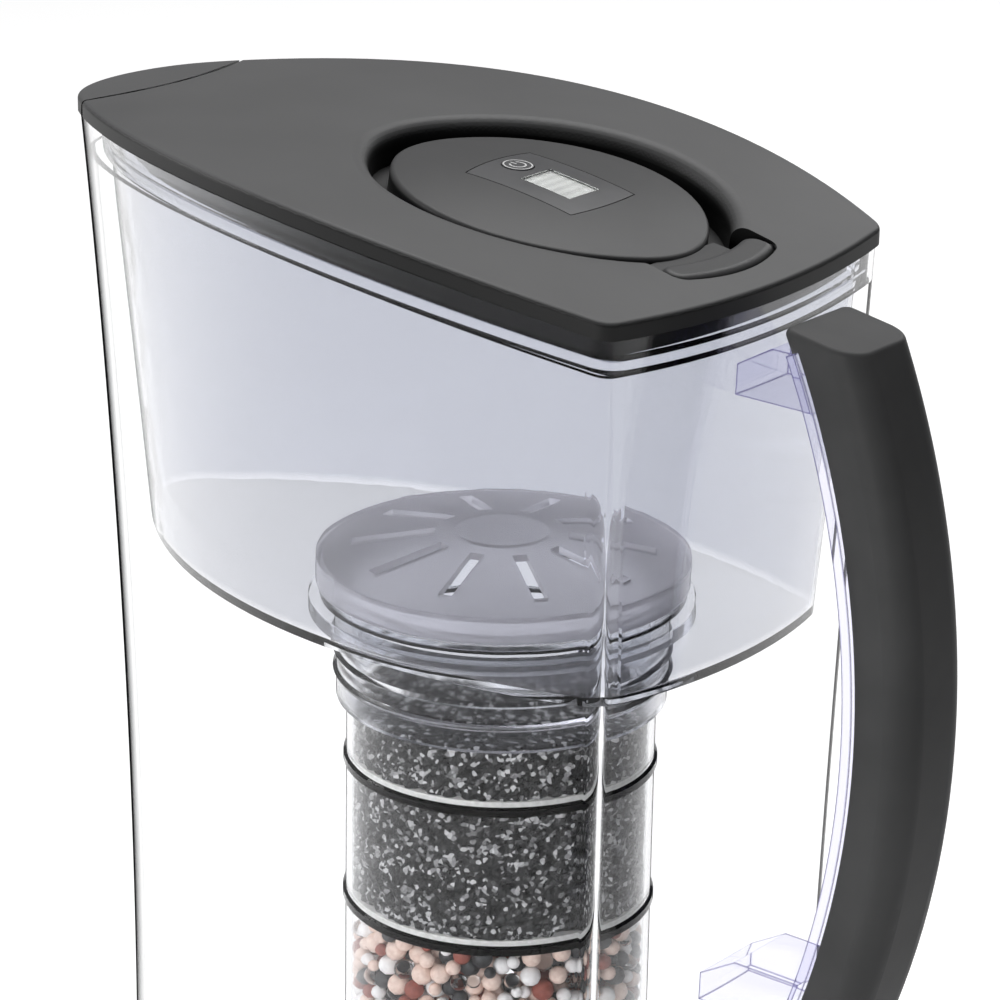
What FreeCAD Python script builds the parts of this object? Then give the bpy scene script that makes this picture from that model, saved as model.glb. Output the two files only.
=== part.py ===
# Water filter pitcher: a clear jug with a handle, a lift-out hopper, a filter cartridge that hangs in
# the hopper, and a lid with a hinged fill hatch, a filter timer and a pour flap.
# Millimetres, +Z up. The origin is on the base plane under the filter's axis, which is also where the
# jug is widest. The spout points along -X and the handle along +X.
import FreeCAD, Part
import math
import os
from types import SimpleNamespace

import Sketcher
from FreeCAD import Placement, Rotation, Vector

SIZES = {
    # Outer wall of the jug in plan: the rim, and how far the waist and the base draw in from it
    "rim_tip_reach": 136.0,
    "rim_tip_radius": 33.0,
    "rim_rear_radius": 257.0,
    "rear_margin": 18.5,
    "waist_level": 178.0,
    "waist_side_inset": 3.0,
    "waist_tip_inset": 10.4,
    "waist_tip_radius": 32.0,
    "waist_rear_inset": 3.5,
    "waist_rear_radius": 255.0,
    "base_side_inset": 7.5,
    "base_tip_inset": 15.0,
    "base_tip_radius": 30.0,
    "base_rear_inset": 7.5,
    "base_rear_radius": 250.0,
    "corner_radius": 6.2,
    # Arched top edge, highest a little way towards the spout
    "crest_level": 288.0,
    "crest_setback": 64.0,
    "arch_radius": 568.0,
    # Jug walls, and the ledge inside the mouth that carries the hopper
    "jug_wall": 3.0,
    "mouth_wall": 1.6,
    "jug_floor": 4.0,
    "ledge_drop": 14.0,
    "foot_inset": 2.2,
    "foot_height": 3.0,
    "seat_gap": 0.3,
    # Hopper
    "hopper_depth": 117.0,
    "hopper_wall": 1.8,
    "hopper_floor": 2.0,
    "hopper_gap": 0.6,
    "hopper_corner_radius": 9.0,
    "pour_gap": 5.0,
    "foot_side_inset": 7.0,
    "foot_tip_inset": 3.6,
    "foot_tip_radius": 14.0,
    "foot_rear_inset": 1.5,
    "foot_rear_radius": 150.0,
    "collar_step": 5.4,
    "collar_groove": 0.6,
    "socket_gap": 1.0,
    "socket_wall": 5.5,
    "socket_depth": 4.0,
    "socket_margin": 8.5,
    # Filter cartridge
    "cap_radius": 46.8,
    "cap_skirt": 7.0,
    "cap_rise": 6.0,
    "cap_wall": 1.8,
    "cap_boss_radius": 12.0,
    "cap_slots": 10,
    "cap_slot_width": 3.6,
    "cap_slot_start": 17.0,
    "cap_slot_end": 38.0,
    "flange_radius": 46.0,
    "flange_thickness": 3.0,
    "head_radius": 42.0,
    "head_wall": 2.2,
    "head_depth": 28.3,
    "head_bead": 0.9,
    "head_bead_drop": 15.5,
    "head_bead_pitch": 5.5,
    "seal_drop": 4.0,
    "seal_radius": 1.2,
    "seal_gap": 0.3,
    "groove_gap": 0.2,
    "cup_radius": 39.4,
    "cup_wall": 1.6,
    "cup_floor": 1.8,
    "upper_cup_depth": 18.3,
    "middle_cup_depth": 38.4,
    "lower_cup_depth": 46.0,
    "cup_spigot": 5.0,
    "cup_bead": 0.7,
    "media_gap": 0.1,
    "pad_thickness": 1.6,
    "outlet_holes": 12,
    "outlet_hole_radius": 2.2,
    "outlet_ring_radius": 26.0,
    # Lid cover
    "lid_plate": 2.2,
    "lid_band": 4.2,
    "band_wall": 2.4,
    "lid_edge": 1.2,
    "plug_drop": 12.0,
    "plug_wall": 1.8,
    "plug_gap": 3.6,
    # Oval well in the lid, round the fill hatch
    "well_centre": 13.0,
    "well_half_length": 48.5,
    "well_half_width": 41.0,
    "well_end_radius": 30.0,
    "well_depth": 11.6,
    "well_wall": 4.5,
    "lip_radius": 4.2,
    "well_floor": 2.0,
    "fill_margin": 4.5,
    # Fill hatch and its hinge
    "hatch_trough": 5.2,
    "hatch_gap": 0.3,
    "hatch_wall": 2.0,
    "hatch_edge": 1.4,
    "dome_radius": 200.0,
    "dome_drop": 0.1,
    "hinge_reach": 53.4,
    "hinge_drop": 4.9,
    "knuckle_back": 6.25,
    "knuckle_front": 3.25,
    "knuckle_length": 39.0,
    "knuckle_thickness": 5.0,
    "knuckle_bow": 45.0,
    "knuckle_corner": 4.0,
    "knuckle_rounding": 2.2,
    "web_drop": 0.6,
    "web_thickness": 3.5,
    "cradle_gap": 0.5,
    "cheek": 4.0,
    "cradle_wall": 1.1,
    "hinge_pin_radius": 1.5,
    "running_gap": 0.06,
    "pin_gap": 0.03,
    # Filter timer in the hatch
    "bezel_length": 36.2,
    "bezel_width": 25.4,
    "bezel_bow": 60.0,
    "bezel_setback": 0.2,
    "bezel_thickness": 2.0,
    "bezel_gap": 0.3,
    "housing_wall": 2.0,
    "housing_depth": 9.6,
    "window_length": 15.8,
    "window_width": 12.0,
    "window_forward": 3.0,
    "window_gap": 0.1,
    "window_thickness": 1.2,
    "board_thickness": 1.0,
    "board_margin": 1.0,
    "button_radius": 4.0,
    "button_gap": 0.2,
    "button_back": 11.4,
    "button_side": 1.2,
    "button_proud": 0.2,
    "button_travel": 0.4,
    "button_flange": 0.6,
    "button_flange_thickness": 0.6,
    "cell_radius": 6.25,
    "cell_thickness": 2.0,
    "cell_gap": 0.2,
    "cover_radius": 9.6,
    "cover_thickness": 1.8,
    "coin_slot_width": 1.6,
    "coin_slot_length": 12.0,
    "coin_slot_depth": 0.8,
    # Pour flap at the spout
    "flap_length": 24.0,
    "seam_gap": 0.4,
    "seam_bow": 88.0,
    "flap_axis_back": 3.0,
    "flap_axis_drop": 6.6,
    "flap_swing_gap": 0.3,
    "flap_swing_bow": 140.0,
    "flap_lug_place": 9.0,
    "flap_lug_width": 5.0,
    "flap_lug_radius": 1.7,
    "flap_arm_thickness": 1.5,
    "flap_post": 2.6,
    "flap_pin_radius": 0.8,
    "flap_ear_width": 3.0,
    "flap_ear_radius": 2.4,
    # Handle
    "handle_mid_level": 166.0,
    "hand_room": 35.0,
    "handle_arc_radius": 218.0,
    "handle_down_angle": 24.0,
    "spine_up_angle": 25.0,
    "spine_thickness": 2.8,
    "spine_width": 28.0,
    "grip_gap": 0.25,
    "grip_up_angle": 31.0,
    "grip_depth": 18.1,
    "grip_width": 26.0,
    "grip_corner": 7.0,
    "grip_inner_corner": 2.5,
    "grip_end_fillet": 2.0,
    "grip_top_level": 260.9,
    "grip_top_fall": 3.0,
    "grip_top_edge": 1.4,
    "bracket_gap": 0.15,
    "bracket_width": 22.0,
    "bracket_height": 13.5,
    "bracket_bevel_run": 12.0,
    "bracket_bevel_drop": 7.0,
    "upper_bracket_level": 244.5,
    "lower_bracket_level": 84.0,
}

doc = FreeCAD.newDocument("pitcher")
sheet = doc.addObject("Spreadsheet::Sheet", "sizes")
for row, (alias, number) in enumerate(SIZES.items(), start=1):
    sheet.set(f"A{row}", alias)
    sheet.set(f"B{row}", str(number))
    sheet.setAlias(f"B{row}", alias)
doc.recompute()


class Size:
    """A length written as a spreadsheet expression, together with its present value."""

    def __init__(self, text, value):
        self.text = text
        self.value = value

    def __add__(self, other):
        other = as_size(other)
        return Size(f"({self.text} + {other.text})", self.value + other.value)

    def __sub__(self, other):
        other = as_size(other)
        return Size(f"({self.text} - {other.text})", self.value - other.value)

    def __mul__(self, other):
        other = as_size(other)
        return Size(f"({self.text} * {other.text})", self.value * other.value)

    def __truediv__(self, other):
        other = as_size(other)
        return Size(f"({self.text} / {other.text})", self.value / other.value)

    def __rmul__(self, other):
        return as_size(other) * self

    def __rsub__(self, other):
        return as_size(other) - self

    def __neg__(self):
        return Size(f"(0 - {self.text})", -self.value)

    def root(self):
        return Size(f"sqrt({self.text})", math.sqrt(self.value))


def as_size(thing):
    return thing if isinstance(thing, Size) else Size(str(float(thing)), float(thing))


S = SimpleNamespace(**{alias: Size(f"sizes.{alias}", sheet.get(alias)) for alias in SIZES})
ZERO = as_size(0)


# Binding, sketches and features

def bind(item, prop, size):
    item.setExpression(prop, as_size(size).text)


def new_body(name):
    return doc.addObject("PartDesign::Body", name)


def new_sketch(body, name, plane, level=None):
    sketch = body.newObject("Sketcher::SketchObject", name)
    support = next(f for f in body.Origin.OriginFeatures if f.Role == plane)
    sketch.AttachmentSupport = [(support, "")]
    sketch.MapMode = "FlatFace"
    if level is not None:
        bind(sketch, "AttachmentOffset.Base.z", level)
    return sketch


def dimension(sketch, kind, places, size):
    index = sketch.addConstraint(Sketcher.Constraint(kind, *places, size.value))
    sketch.setExpression(f"Constraints[{index}]", size.text)


def relate(sketch, kind, *places):
    sketch.addConstraint(Sketcher.Constraint(kind, *places))


def pin_down(sketch, geometry, point, x, y):
    """Holds a point of the sketch at (x, y) from the sketch's origin, either side of it."""
    for kind, axis, size in (("DistanceX", -2, as_size(x)), ("DistanceY", -1, as_size(y))):
        if abs(size.value) < 1e-9:
            relate(sketch, "PointOnObject", geometry, point, axis)
        elif size.value > 0:
            dimension(sketch, kind, (-1, 1, geometry, point), size)
        else:
            dimension(sketch, kind, (geometry, point, -1, 1), -size)


def arc(sketch, centre, radius, start, end):
    circle = Part.Circle(Vector(*centre, 0), Vector(0, 0, 1), radius)
    return sketch.addGeometry(Part.ArcOfCircle(circle, start, end), False)


def polygon(sketch, corners):
    """A closed chain of lines through corners given as pairs of sizes."""
    points = [Vector(as_size(x).value, as_size(y).value, 0) for x, y in corners]
    count = len(points)
    lines = [sketch.addGeometry(Part.LineSegment(points[i], points[(i + 1) % count]), False)
             for i in range(count)]
    for i, line in enumerate(lines):
        relate(sketch, "Coincident", line, 2, lines[(i + 1) % count], 1)
        pin_down(sketch, line, 1, *corners[i])


class Outline:
    """Plan outline of six tangent arcs: spout tip, two flanks, rear wall and its two corners."""

    def __init__(self, half_width, tip_reach, tip_radius, rear_reach, rear_radius, corner_radius):
        self.sizes = (half_width, tip_reach, tip_radius, rear_reach, rear_radius, corner_radius)

    def inset(self, depth):
        return Outline(*(size - depth for size in self.sizes))

    def draw(self, sketch):
        half_width, tip_reach, tip_radius, rear_reach, rear_radius, corner_radius = self.sizes
        tip_x = tip_reach - tip_radius
        flank = (tip_x * tip_x / (half_width - tip_radius) + tip_radius + half_width) / 2
        below = flank - half_width
        behind = rear_radius - rear_reach
        corner = corner_centre(below.value, flank.value - corner_radius.value,
                               behind.value, rear_radius.value - corner_radius.value)
        turn_1 = math.atan2(corner[1], corner[0] + behind.value)
        turn_2 = math.atan2(corner[1] + below.value, corner[0])
        turn_3 = math.atan2(below.value, -tip_x.value)
        full = 2 * math.pi
        rear = arc(sketch, (-behind.value, 0), rear_radius.value, -turn_1, turn_1)
        left_corner = arc(sketch, corner, corner_radius.value, turn_1, turn_2)
        left_flank = arc(sketch, (0, -below.value), flank.value, turn_2, turn_3)
        tip = arc(sketch, (-tip_x.value, 0), tip_radius.value, turn_3, full - turn_3)
        right_flank = arc(sketch, (0, below.value), flank.value, full - turn_3, full - turn_2)
        right_corner = arc(sketch, (corner[0], -corner[1]), corner_radius.value,
                           full - turn_2, full - turn_1)
        ring = [rear, left_corner, left_flank, tip, right_flank, right_corner]
        for i, piece in enumerate(ring):
            relate(sketch, "Tangent", piece, 2, ring[(i + 1) % len(ring)], 1)
        pin_down(sketch, rear, 3, -behind, ZERO)
        pin_down(sketch, left_flank, 3, ZERO, -below)
        pin_down(sketch, right_flank, 3, ZERO, below)
        radii = {rear: rear_radius, left_corner: corner_radius, right_corner: corner_radius,
                 left_flank: flank, right_flank: flank, tip: tip_radius}
        for piece, radius in radii.items():
            dimension(sketch, "Radius", (piece,), radius)


def corner_centre(below, flank_reach, behind, rear_reach):
    """Centre of the rear corner: flank_reach from (0, -below) and rear_reach from (-behind, 0)."""
    span = math.hypot(behind, below)
    along = (rear_reach**2 - flank_reach**2 + span**2) / (2 * span)
    across = math.sqrt(rear_reach**2 - along**2)
    unit_x = behind / span
    unit_y = -below / span
    return -behind + along * unit_x - across * unit_y, along * unit_y + across * unit_x


class Oval:
    """Oval of four tangent arcs about the sketch's origin."""

    def __init__(self, half_length, half_width, end_radius):
        self.sizes = (half_length, half_width, end_radius)

    def inset(self, depth):
        return Oval(*(size - depth for size in self.sizes))

    def draw(self, sketch):
        half_length, half_width, end_radius = self.sizes
        end_x = half_length - end_radius
        flank = (end_x * end_x / (half_width - end_radius) + end_radius + half_width) / 2
        below = flank - half_width
        turn = math.atan2(below.value, end_x.value)
        front = arc(sketch, (end_x.value, 0), end_radius.value, -turn, turn)
        left = arc(sketch, (0, -below.value), flank.value, turn, math.pi - turn)
        back = arc(sketch, (-end_x.value, 0), end_radius.value, math.pi - turn, math.pi + turn)
        right = arc(sketch, (0, below.value), flank.value, math.pi + turn, 2 * math.pi - turn)
        ring = [front, left, back, right]
        for i, piece in enumerate(ring):
            relate(sketch, "Tangent", piece, 2, ring[(i + 1) % len(ring)], 1)
        pin_down(sketch, left, 3, ZERO, -below)
        pin_down(sketch, right, 3, ZERO, below)
        for piece, radius in ((front, end_radius), (back, end_radius), (left, flank), (right, flank)):
            dimension(sketch, "Radius", (piece,), radius)


def prism(name, shape, low, high):
    """The shape drawn at the level low and padded up to the level high."""
    body = new_body(name)
    sketch = new_sketch(body, name + "_outline", "XY_Plane", low)
    shape.draw(sketch)
    pad = body.newObject("PartDesign::Pad", name + "_pad")
    pad.Profile = sketch
    bind(pad, "Length", high - low)
    return body


def loft(name, sections):
    """A solid through outlines at their levels, from the lowest up."""
    body = new_body(name)
    sketches = []
    for i, (shape, level) in enumerate(sections):
        sketch = new_sketch(body, f"{name}_section_{i}", "XY_Plane", level)
        shape.draw(sketch)
        sketches.append(sketch)
    skin = body.newObject("PartDesign::AdditiveLoft", name + "_loft")
    skin.Profile = sketches[0]
    skin.Sections = sketches[1:]
    return body


def turned(name, corners):
    """A solid of revolution about the filter's axis, from corners as (radius, level)."""
    body = new_body(name)
    sketch = new_sketch(body, name + "_profile", "XZ_Plane")
    polygon(sketch, corners)
    turn = body.newObject("PartDesign::Revolution", name + "_turn")
    turn.Profile = sketch
    turn.ReferenceAxis = (sketch, ["V_Axis"])
    turn.Angle = 360
    return body


def side_pad(name, corners, width):
    """A side-view polygon in X and Z, padded evenly to both sides in Y."""
    body = new_body(name)
    sketch = new_sketch(body, name + "_profile", "XZ_Plane")
    polygon(sketch, corners)
    pad = body.newObject("PartDesign::Pad", name + "_pad")
    pad.Profile = sketch
    pad.SideType = "Symmetric"
    bind(pad, "Length", width)
    return body


def slab(name, top_drop, bottom_drop):
    """The layer between two depths under the arched top edge, wider and longer than the jug."""
    reach = S.rim_tip_reach + RIM_SIDE
    body = new_body(name)
    sketch = new_sketch(body, name + "_profile", "XZ_Plane")
    centre = (-S.crest_setback, S.crest_level - S.arch_radius)
    arcs = []
    for drop in (as_size(top_drop), as_size(bottom_drop)):
        radius = S.arch_radius - drop
        swing = [math.acos((x - centre[0].value) / radius.value) for x in (reach.value, -reach.value)]
        curve = arc(sketch, (centre[0].value, centre[1].value), radius.value, *swing)
        dimension(sketch, "Radius", (curve,), radius)
        arcs.append(curve)
    top, bottom = arcs
    pin_down(sketch, top, 3, *centre)
    relate(sketch, "Coincident", top, 3, bottom, 3)
    for point, x in ((1, reach), (2, -reach)):
        ends = [sketch.getPoint(curve, point) for curve in arcs]
        line = sketch.addGeometry(Part.LineSegment(*ends), False)
        relate(sketch, "Coincident", line, 1, top, point)
        relate(sketch, "Coincident", line, 2, bottom, point)
        relate(sketch, "Vertical", line)
        kind_places = (-1, 1, line, 1) if point == 1 else (line, 1, -1, 1)
        dimension(sketch, "DistanceX", kind_places, reach)
    pad = body.newObject("PartDesign::Pad", name + "_pad")
    pad.Profile = sketch
    pad.SideType = "Symmetric"
    bind(pad, "Length", 2 * reach)
    return body


def fillet(body, name, radius, wanted):
    """Rounds the edges of the body's last feature that the test accepts."""
    doc.recompute()
    base = body.Tip
    names = [f"Edge{i}" for i, edge in enumerate(base.Shape.Edges, start=1) if wanted(edge)]
    feature = body.newObject("PartDesign::Fillet", name)
    feature.Base = (base, names)
    bind(feature, "Radius", radius)
    return body


def rounded(name, base, radius, wanted):
    """The item with the edges that the test accepts rounded off."""
    doc.recompute()
    feature = doc.addObject("Part::Fillet", name)
    feature.Base = base
    feature.Edges = [(i, radius.value, radius.value)
                     for i, edge in enumerate(base.Shape.Edges, start=1) if wanted(edge)]
    return feature


def spots(edge):
    """A few points along an edge."""
    first, last = edge.ParameterRange
    return [edge.valueAt(first + (last - first) * part) for part in (0.1, 0.5, 0.9)]


# Primitives and booleans

def at(item, x, y, z):
    for axis, size in zip("xyz", (x, y, z)):
        bind(item, f"Placement.Base.{axis}", size)
    return item


def box(name, x, y, z):
    """A box between pairs of limits."""
    item = doc.addObject("Part::Box", name)
    for prop, (low, high) in zip(("Length", "Width", "Height"), (x, y, z)):
        bind(item, prop, high - low)
    return at(item, x[0], y[0], z[0])


def upright(name, radius, x, y, low, high):
    """A cylinder along Z between two levels."""
    item = doc.addObject("Part::Cylinder", name)
    bind(item, "Radius", radius)
    bind(item, "Height", high - low)
    return at(item, x, y, low)


def crosswise(name, radius, x, z, near, far):
    """A cylinder along Y between two places."""
    item = doc.addObject("Part::Cylinder", name)
    item.Placement = Placement(Vector(), Rotation(Vector(1, 0, 0), -90))
    bind(item, "Radius", radius)
    bind(item, "Height", far - near)
    return at(item, x, near, z)


def fuse(name, *items):
    joined = doc.addObject("Part::MultiFuse", name)
    joined.Shapes = list(items)
    return joined


def common(name, *items):
    shared = doc.addObject("Part::MultiCommon", name)
    shared.Shapes = list(items)
    return shared


def cut(name, base, *tools):
    for i, tool in enumerate(tools, start=1):
        result = doc.addObject("Part::Cut", f"{name}_cut_{i}")
        result.Base = base
        result.Tool = tool
        base = result
    return base


# The hatch frame: its origin is on the arched lid above the well's centre, its +X runs along the lid
# towards the handle and its +Z is square to the lid there.
TILT_SIN = (S.well_centre + S.crest_setback) / S.arch_radius
TILT_COS = (1 - TILT_SIN * TILT_SIN).root()
TILT_ANGLE = Size(f"asin({TILT_SIN.text})", math.degrees(math.asin(TILT_SIN.value)))
FRAME_LEVEL = S.crest_level - S.arch_radius + S.arch_radius * TILT_COS


def hatch_point(along, up):
    """Row frame X and Z of a point of the hatch frame."""
    along = as_size(along)
    up = as_size(up)
    return (S.well_centre + along * TILT_COS + up * TILT_SIN,
            FRAME_LEVEL - along * TILT_SIN + up * TILT_COS)


def in_hatch_frame(item, along=ZERO, across=ZERO, up=ZERO):
    """Tilts an item modelled about its own origin into the hatch frame."""
    x, z = hatch_point(along, up)
    item.Placement = Placement(Vector(), Rotation(Vector(0, 1, 0), TILT_ANGLE.value))
    bind(item, "Placement.Rotation.Angle", TILT_ANGLE)
    return at(item, x, across, z)


def hatch_box(name, along, across, up):
    item = doc.addObject("Part::Box", name)
    for prop, (low, high) in zip(("Length", "Width", "Height"), (along, across, up)):
        bind(item, prop, as_size(high) - low)
    return in_hatch_frame(item, along[0], across[0], up[0])


def hatch_cylinder(name, radius, along, across, low, high):
    item = doc.addObject("Part::Cylinder", name)
    bind(item, "Radius", radius)
    bind(item, "Height", as_size(high) - low)
    return in_hatch_frame(item, along, across, low)


def hatch_prism(name, shape, low, high):
    return in_hatch_frame(prism(name, shape, as_size(low), as_size(high)))


# Jug

# The jug is as wide as the filter's socket, the hopper round it and the gaps between need, and it
# reaches back past the well in the lid.
RIM_SIDE = (S.head_radius + S.socket_gap + S.socket_wall + S.socket_margin + S.foot_side_inset
            + S.jug_wall + S.waist_side_inset)
RIM_REAR = S.well_centre + S.well_half_length + S.rear_margin
RIM = Outline(RIM_SIDE, S.rim_tip_reach, S.rim_tip_radius, RIM_REAR, S.rim_rear_radius, S.corner_radius)
WAIST = Outline(RIM_SIDE - S.waist_side_inset, S.rim_tip_reach - S.waist_tip_inset, S.waist_tip_radius,
                RIM_REAR - S.waist_rear_inset, S.waist_rear_radius, S.corner_radius)
BASE = Outline(RIM_SIDE - S.base_side_inset, S.rim_tip_reach - S.base_tip_inset, S.base_tip_radius,
               RIM_REAR - S.base_rear_inset, S.base_rear_radius, S.corner_radius)


def jug_space(name, inset, floor):
    """The jug's outer form drawn in by a wall, from a floor up to the crest."""
    return loft(name, [(BASE.inset(inset), floor), (WAIST.inset(inset), S.waist_level),
                       (RIM.inset(inset), S.crest_level)])


def make_jug():
    wall = jug_space("jug_wall_outside", ZERO, S.foot_height)
    foot = loft("jug_foot", [(BASE.inset(S.foot_inset), ZERO), (BASE, S.foot_height)])
    outer = fuse("jug_outer", wall, foot)
    inner = jug_space("jug_inner", S.jug_wall, S.jug_floor)
    rim_drop = S.lid_band + S.seat_gap
    above_ledge = slab("above_ledge", -RIM_SIDE, S.ledge_drop)
    mouth = common("jug_mouth", jug_space("mouth_space", S.mouth_wall, S.jug_floor), above_ledge)
    above_rim = slab("above_rim", -RIM_SIDE, rim_drop)
    return cut("jug", outer, above_rim, mouth, inner)


# Handle

HANDLE_APEX = RIM_REAR + S.hand_room
ARC_X = HANDLE_APEX - S.handle_arc_radius


def make_handle_section(name, inner, depth, width, up_angle):
    """A bar of rectangular section, swung about the handle's arc centre."""
    body = new_body(name)
    sketch = new_sketch(body, name + "_section", "XY_Plane", S.handle_mid_level)
    half = width / 2
    outer = inner + depth
    axis = sketch.addGeometry(Part.LineSegment(Vector(ARC_X.value, -half.value, 0),
                                               Vector(ARC_X.value, half.value, 0)), True)
    pin_down(sketch, axis, 1, ARC_X, -half)
    pin_down(sketch, axis, 2, ARC_X, half)
    polygon(sketch, [(inner, -half), (outer, -half), (outer, half), (inner, half)])
    swing = body.newObject("PartDesign::Revolution", name + "_swing")
    swing.Profile = sketch
    swing.ReferenceAxis = (sketch, ["Axis0"])
    swing.Type = "TwoAngles"
    bind(swing, "Angle", S.handle_down_angle)
    bind(swing, "Angle2", up_angle)
    return body


def on_arc(edge, radius):
    """True for an arc of that radius about the handle's arc centre."""
    return isinstance(edge.Curve, Part.Circle) and abs(edge.Curve.Radius - radius.value) < 1e-3


def at_handle_foot(edge):
    """True for an edge that lies in the lower end face of the handle's bar."""
    angles = [math.degrees(math.atan2(spot.z - S.handle_mid_level.value, spot.x - ARC_X.value))
              for spot in spots(edge)]
    return all(abs(angle + S.handle_down_angle.value) < 1e-3 for angle in angles)


def at_grip_top(edge):
    """True for an edge that lies in the grip's sloping top face."""
    slope = S.grip_top_fall.value / S.grip_depth.value
    return all(abs(spot.z - S.grip_top_level.value + (spot.x - HANDLE_APEX.value) * slope) < 1e-3
               for spot in spots(edge))


def make_grip():
    """The dark bar behind the spine. Its top caps the spine and slopes away from the jug."""
    outer = S.handle_arc_radius + S.grip_depth
    bar = make_handle_section("grip_bar", HANDLE_APEX, S.grip_depth, S.grip_width, S.grip_up_angle)
    fillet(bar, "grip_corners", S.grip_corner, lambda edge: on_arc(edge, outer))
    fillet(bar, "grip_inner_corners", S.grip_inner_corner, lambda edge: on_arc(edge, S.handle_arc_radius))
    fillet(bar, "grip_foot", S.grip_end_fillet, at_handle_foot)
    run = 2 * S.grip_depth
    fall = 2 * S.grip_top_fall
    high = S.grip_top_level + S.handle_arc_radius
    above = side_pad("above_grip", [
        (HANDLE_APEX - run, S.grip_top_level + fall), (HANDLE_APEX + run, S.grip_top_level - fall),
        (HANDLE_APEX + run, high), (HANDLE_APEX - run, high)], 2 * S.spine_width)
    topped = rounded("grip_topped", cut("grip_trimmed", bar, above), S.grip_top_edge, at_grip_top)
    channel = make_handle_section("grip_channel", HANDLE_APEX - S.spine_thickness,
                                  2 * S.spine_thickness + S.grip_gap, 2 * S.spine_width, S.spine_up_angle)
    return cut("handle_grip", topped, channel)


def make_bracket(name, root, level):
    """An arm from the jug's rear wall to the spine, with its top sloping down to the wall."""
    rise = level + S.bracket_height / 2 - S.handle_mid_level
    end = ARC_X + (S.handle_arc_radius * S.handle_arc_radius - rise * rise).root() + S.bracket_height / 2
    top = level + S.bracket_height
    return side_pad(name, [(root, level), (end, level), (end, top), (root + S.bracket_bevel_run, top),
                           (root, top - S.bracket_bevel_drop)], S.bracket_width)


def make_handle_frame():
    spine = make_handle_section("spine", HANDLE_APEX, S.spine_thickness, S.spine_width, S.spine_up_angle)
    brackets = [make_bracket("upper_bracket", RIM_REAR - S.waist_rear_inset, S.upper_bracket_level),
                make_bracket("lower_bracket", RIM_REAR - S.base_rear_inset, S.lower_bracket_level)]
    outside = crosswise("spine_outer_face", S.handle_arc_radius + S.spine_thickness,
                        ARC_X, S.handle_mid_level, -S.spine_width, S.spine_width)
    arms = common("bracket_arms", fuse("bracket_pair", *brackets), outside)
    jug_room = jug_space("jug_room", -S.bracket_gap, S.foot_height)
    return cut("handle_frame", fuse("frame_blank", spine, arms), jug_room)


# Hopper

HOPPER_FLOOR = S.crest_level - S.hopper_depth
SEAT = HOPPER_FLOOR + S.hopper_floor


def hopper_outline(source, side, tip, tip_radius, rear, rear_radius):
    half_width, tip_reach, _, rear_reach, _, _ = source.sizes
    return Outline(half_width - side, tip_reach - tip, tip_radius, rear_reach - rear, rear_radius,
                   S.hopper_corner_radius)


WALL_INSET = S.jug_wall + S.hopper_gap
HOPPER_TOP = hopper_outline(RIM, WALL_INSET, WALL_INSET + S.pour_gap, S.rim_tip_radius - WALL_INSET,
                            WALL_INSET, S.rim_rear_radius - WALL_INSET)
HOPPER_FOOT = hopper_outline(WAIST, S.jug_wall + S.foot_side_inset, S.jug_wall + S.foot_tip_inset,
                             S.foot_tip_radius, S.jug_wall + S.foot_rear_inset, S.foot_rear_radius)


def collar_outline(source):
    """The hopper's collar stands inside the jug's mouth and is drawn back from the spout."""
    inset = S.mouth_wall + S.seat_gap
    half_width, tip_reach, tip_radius, rear_reach, rear_radius, _ = source.sizes
    return Outline(half_width - inset, tip_reach - inset - S.pour_gap, tip_radius - inset,
                   rear_reach - inset, rear_radius - inset, S.corner_radius - inset)


def make_hopper():
    outer = loft("hopper_outer", [(HOPPER_FOOT, HOPPER_FLOOR), (HOPPER_TOP, S.crest_level)])
    collar_space = loft("collar_space", [(collar_outline(BASE), ZERO),
                                         (collar_outline(WAIST), S.waist_level),
                                         (collar_outline(RIM), S.crest_level)])
    top_drop = S.lid_band + S.seat_gap
    collar_layer = slab("collar_layer", top_drop, S.ledge_drop - S.seat_gap)
    collar = common("hopper_collar", collar_space, collar_layer)
    step_drop = top_drop + S.collar_step
    groove_layer = slab("groove_layer", step_drop, step_drop + S.collar_groove)
    groove = cut("collar_groove", common("groove_band", collar_space, groove_layer),
                 loft("groove_floor", [(HOPPER_FOOT, HOPPER_FLOOR), (HOPPER_TOP, S.crest_level)]))
    inner = loft("hopper_inner", [(HOPPER_FOOT.inset(S.hopper_wall), SEAT),
                                  (HOPPER_TOP.inset(S.hopper_wall), S.crest_level)])
    hole = S.head_radius + S.socket_gap
    socket = upright("socket_ring", hole + S.socket_wall, ZERO, ZERO,
                     HOPPER_FLOOR - S.socket_depth, SEAT)
    bore = upright("socket_bore", hole, ZERO, ZERO, HOPPER_FLOOR - 2 * S.socket_depth,
                   SEAT + S.socket_depth)
    above = slab("above_hopper", -RIM_SIDE, top_drop)
    shell = cut("hopper_shell", fuse("hopper_blank", outer, collar), inner, above, groove)
    return cut("hopper", fuse("hopper_with_socket", shell, socket), bore)


# Filter cartridge

FLANGE_TOP = SEAT + S.flange_thickness
HEAD_FOOT = SEAT - S.head_depth
UPPER_FOOT = HEAD_FOOT - S.upper_cup_depth
MIDDLE_FOOT = UPPER_FOOT - S.middle_cup_depth
LOWER_FOOT = MIDDLE_FOOT - S.lower_cup_depth
CUP_BORE = S.cup_radius - S.cup_wall


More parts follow.
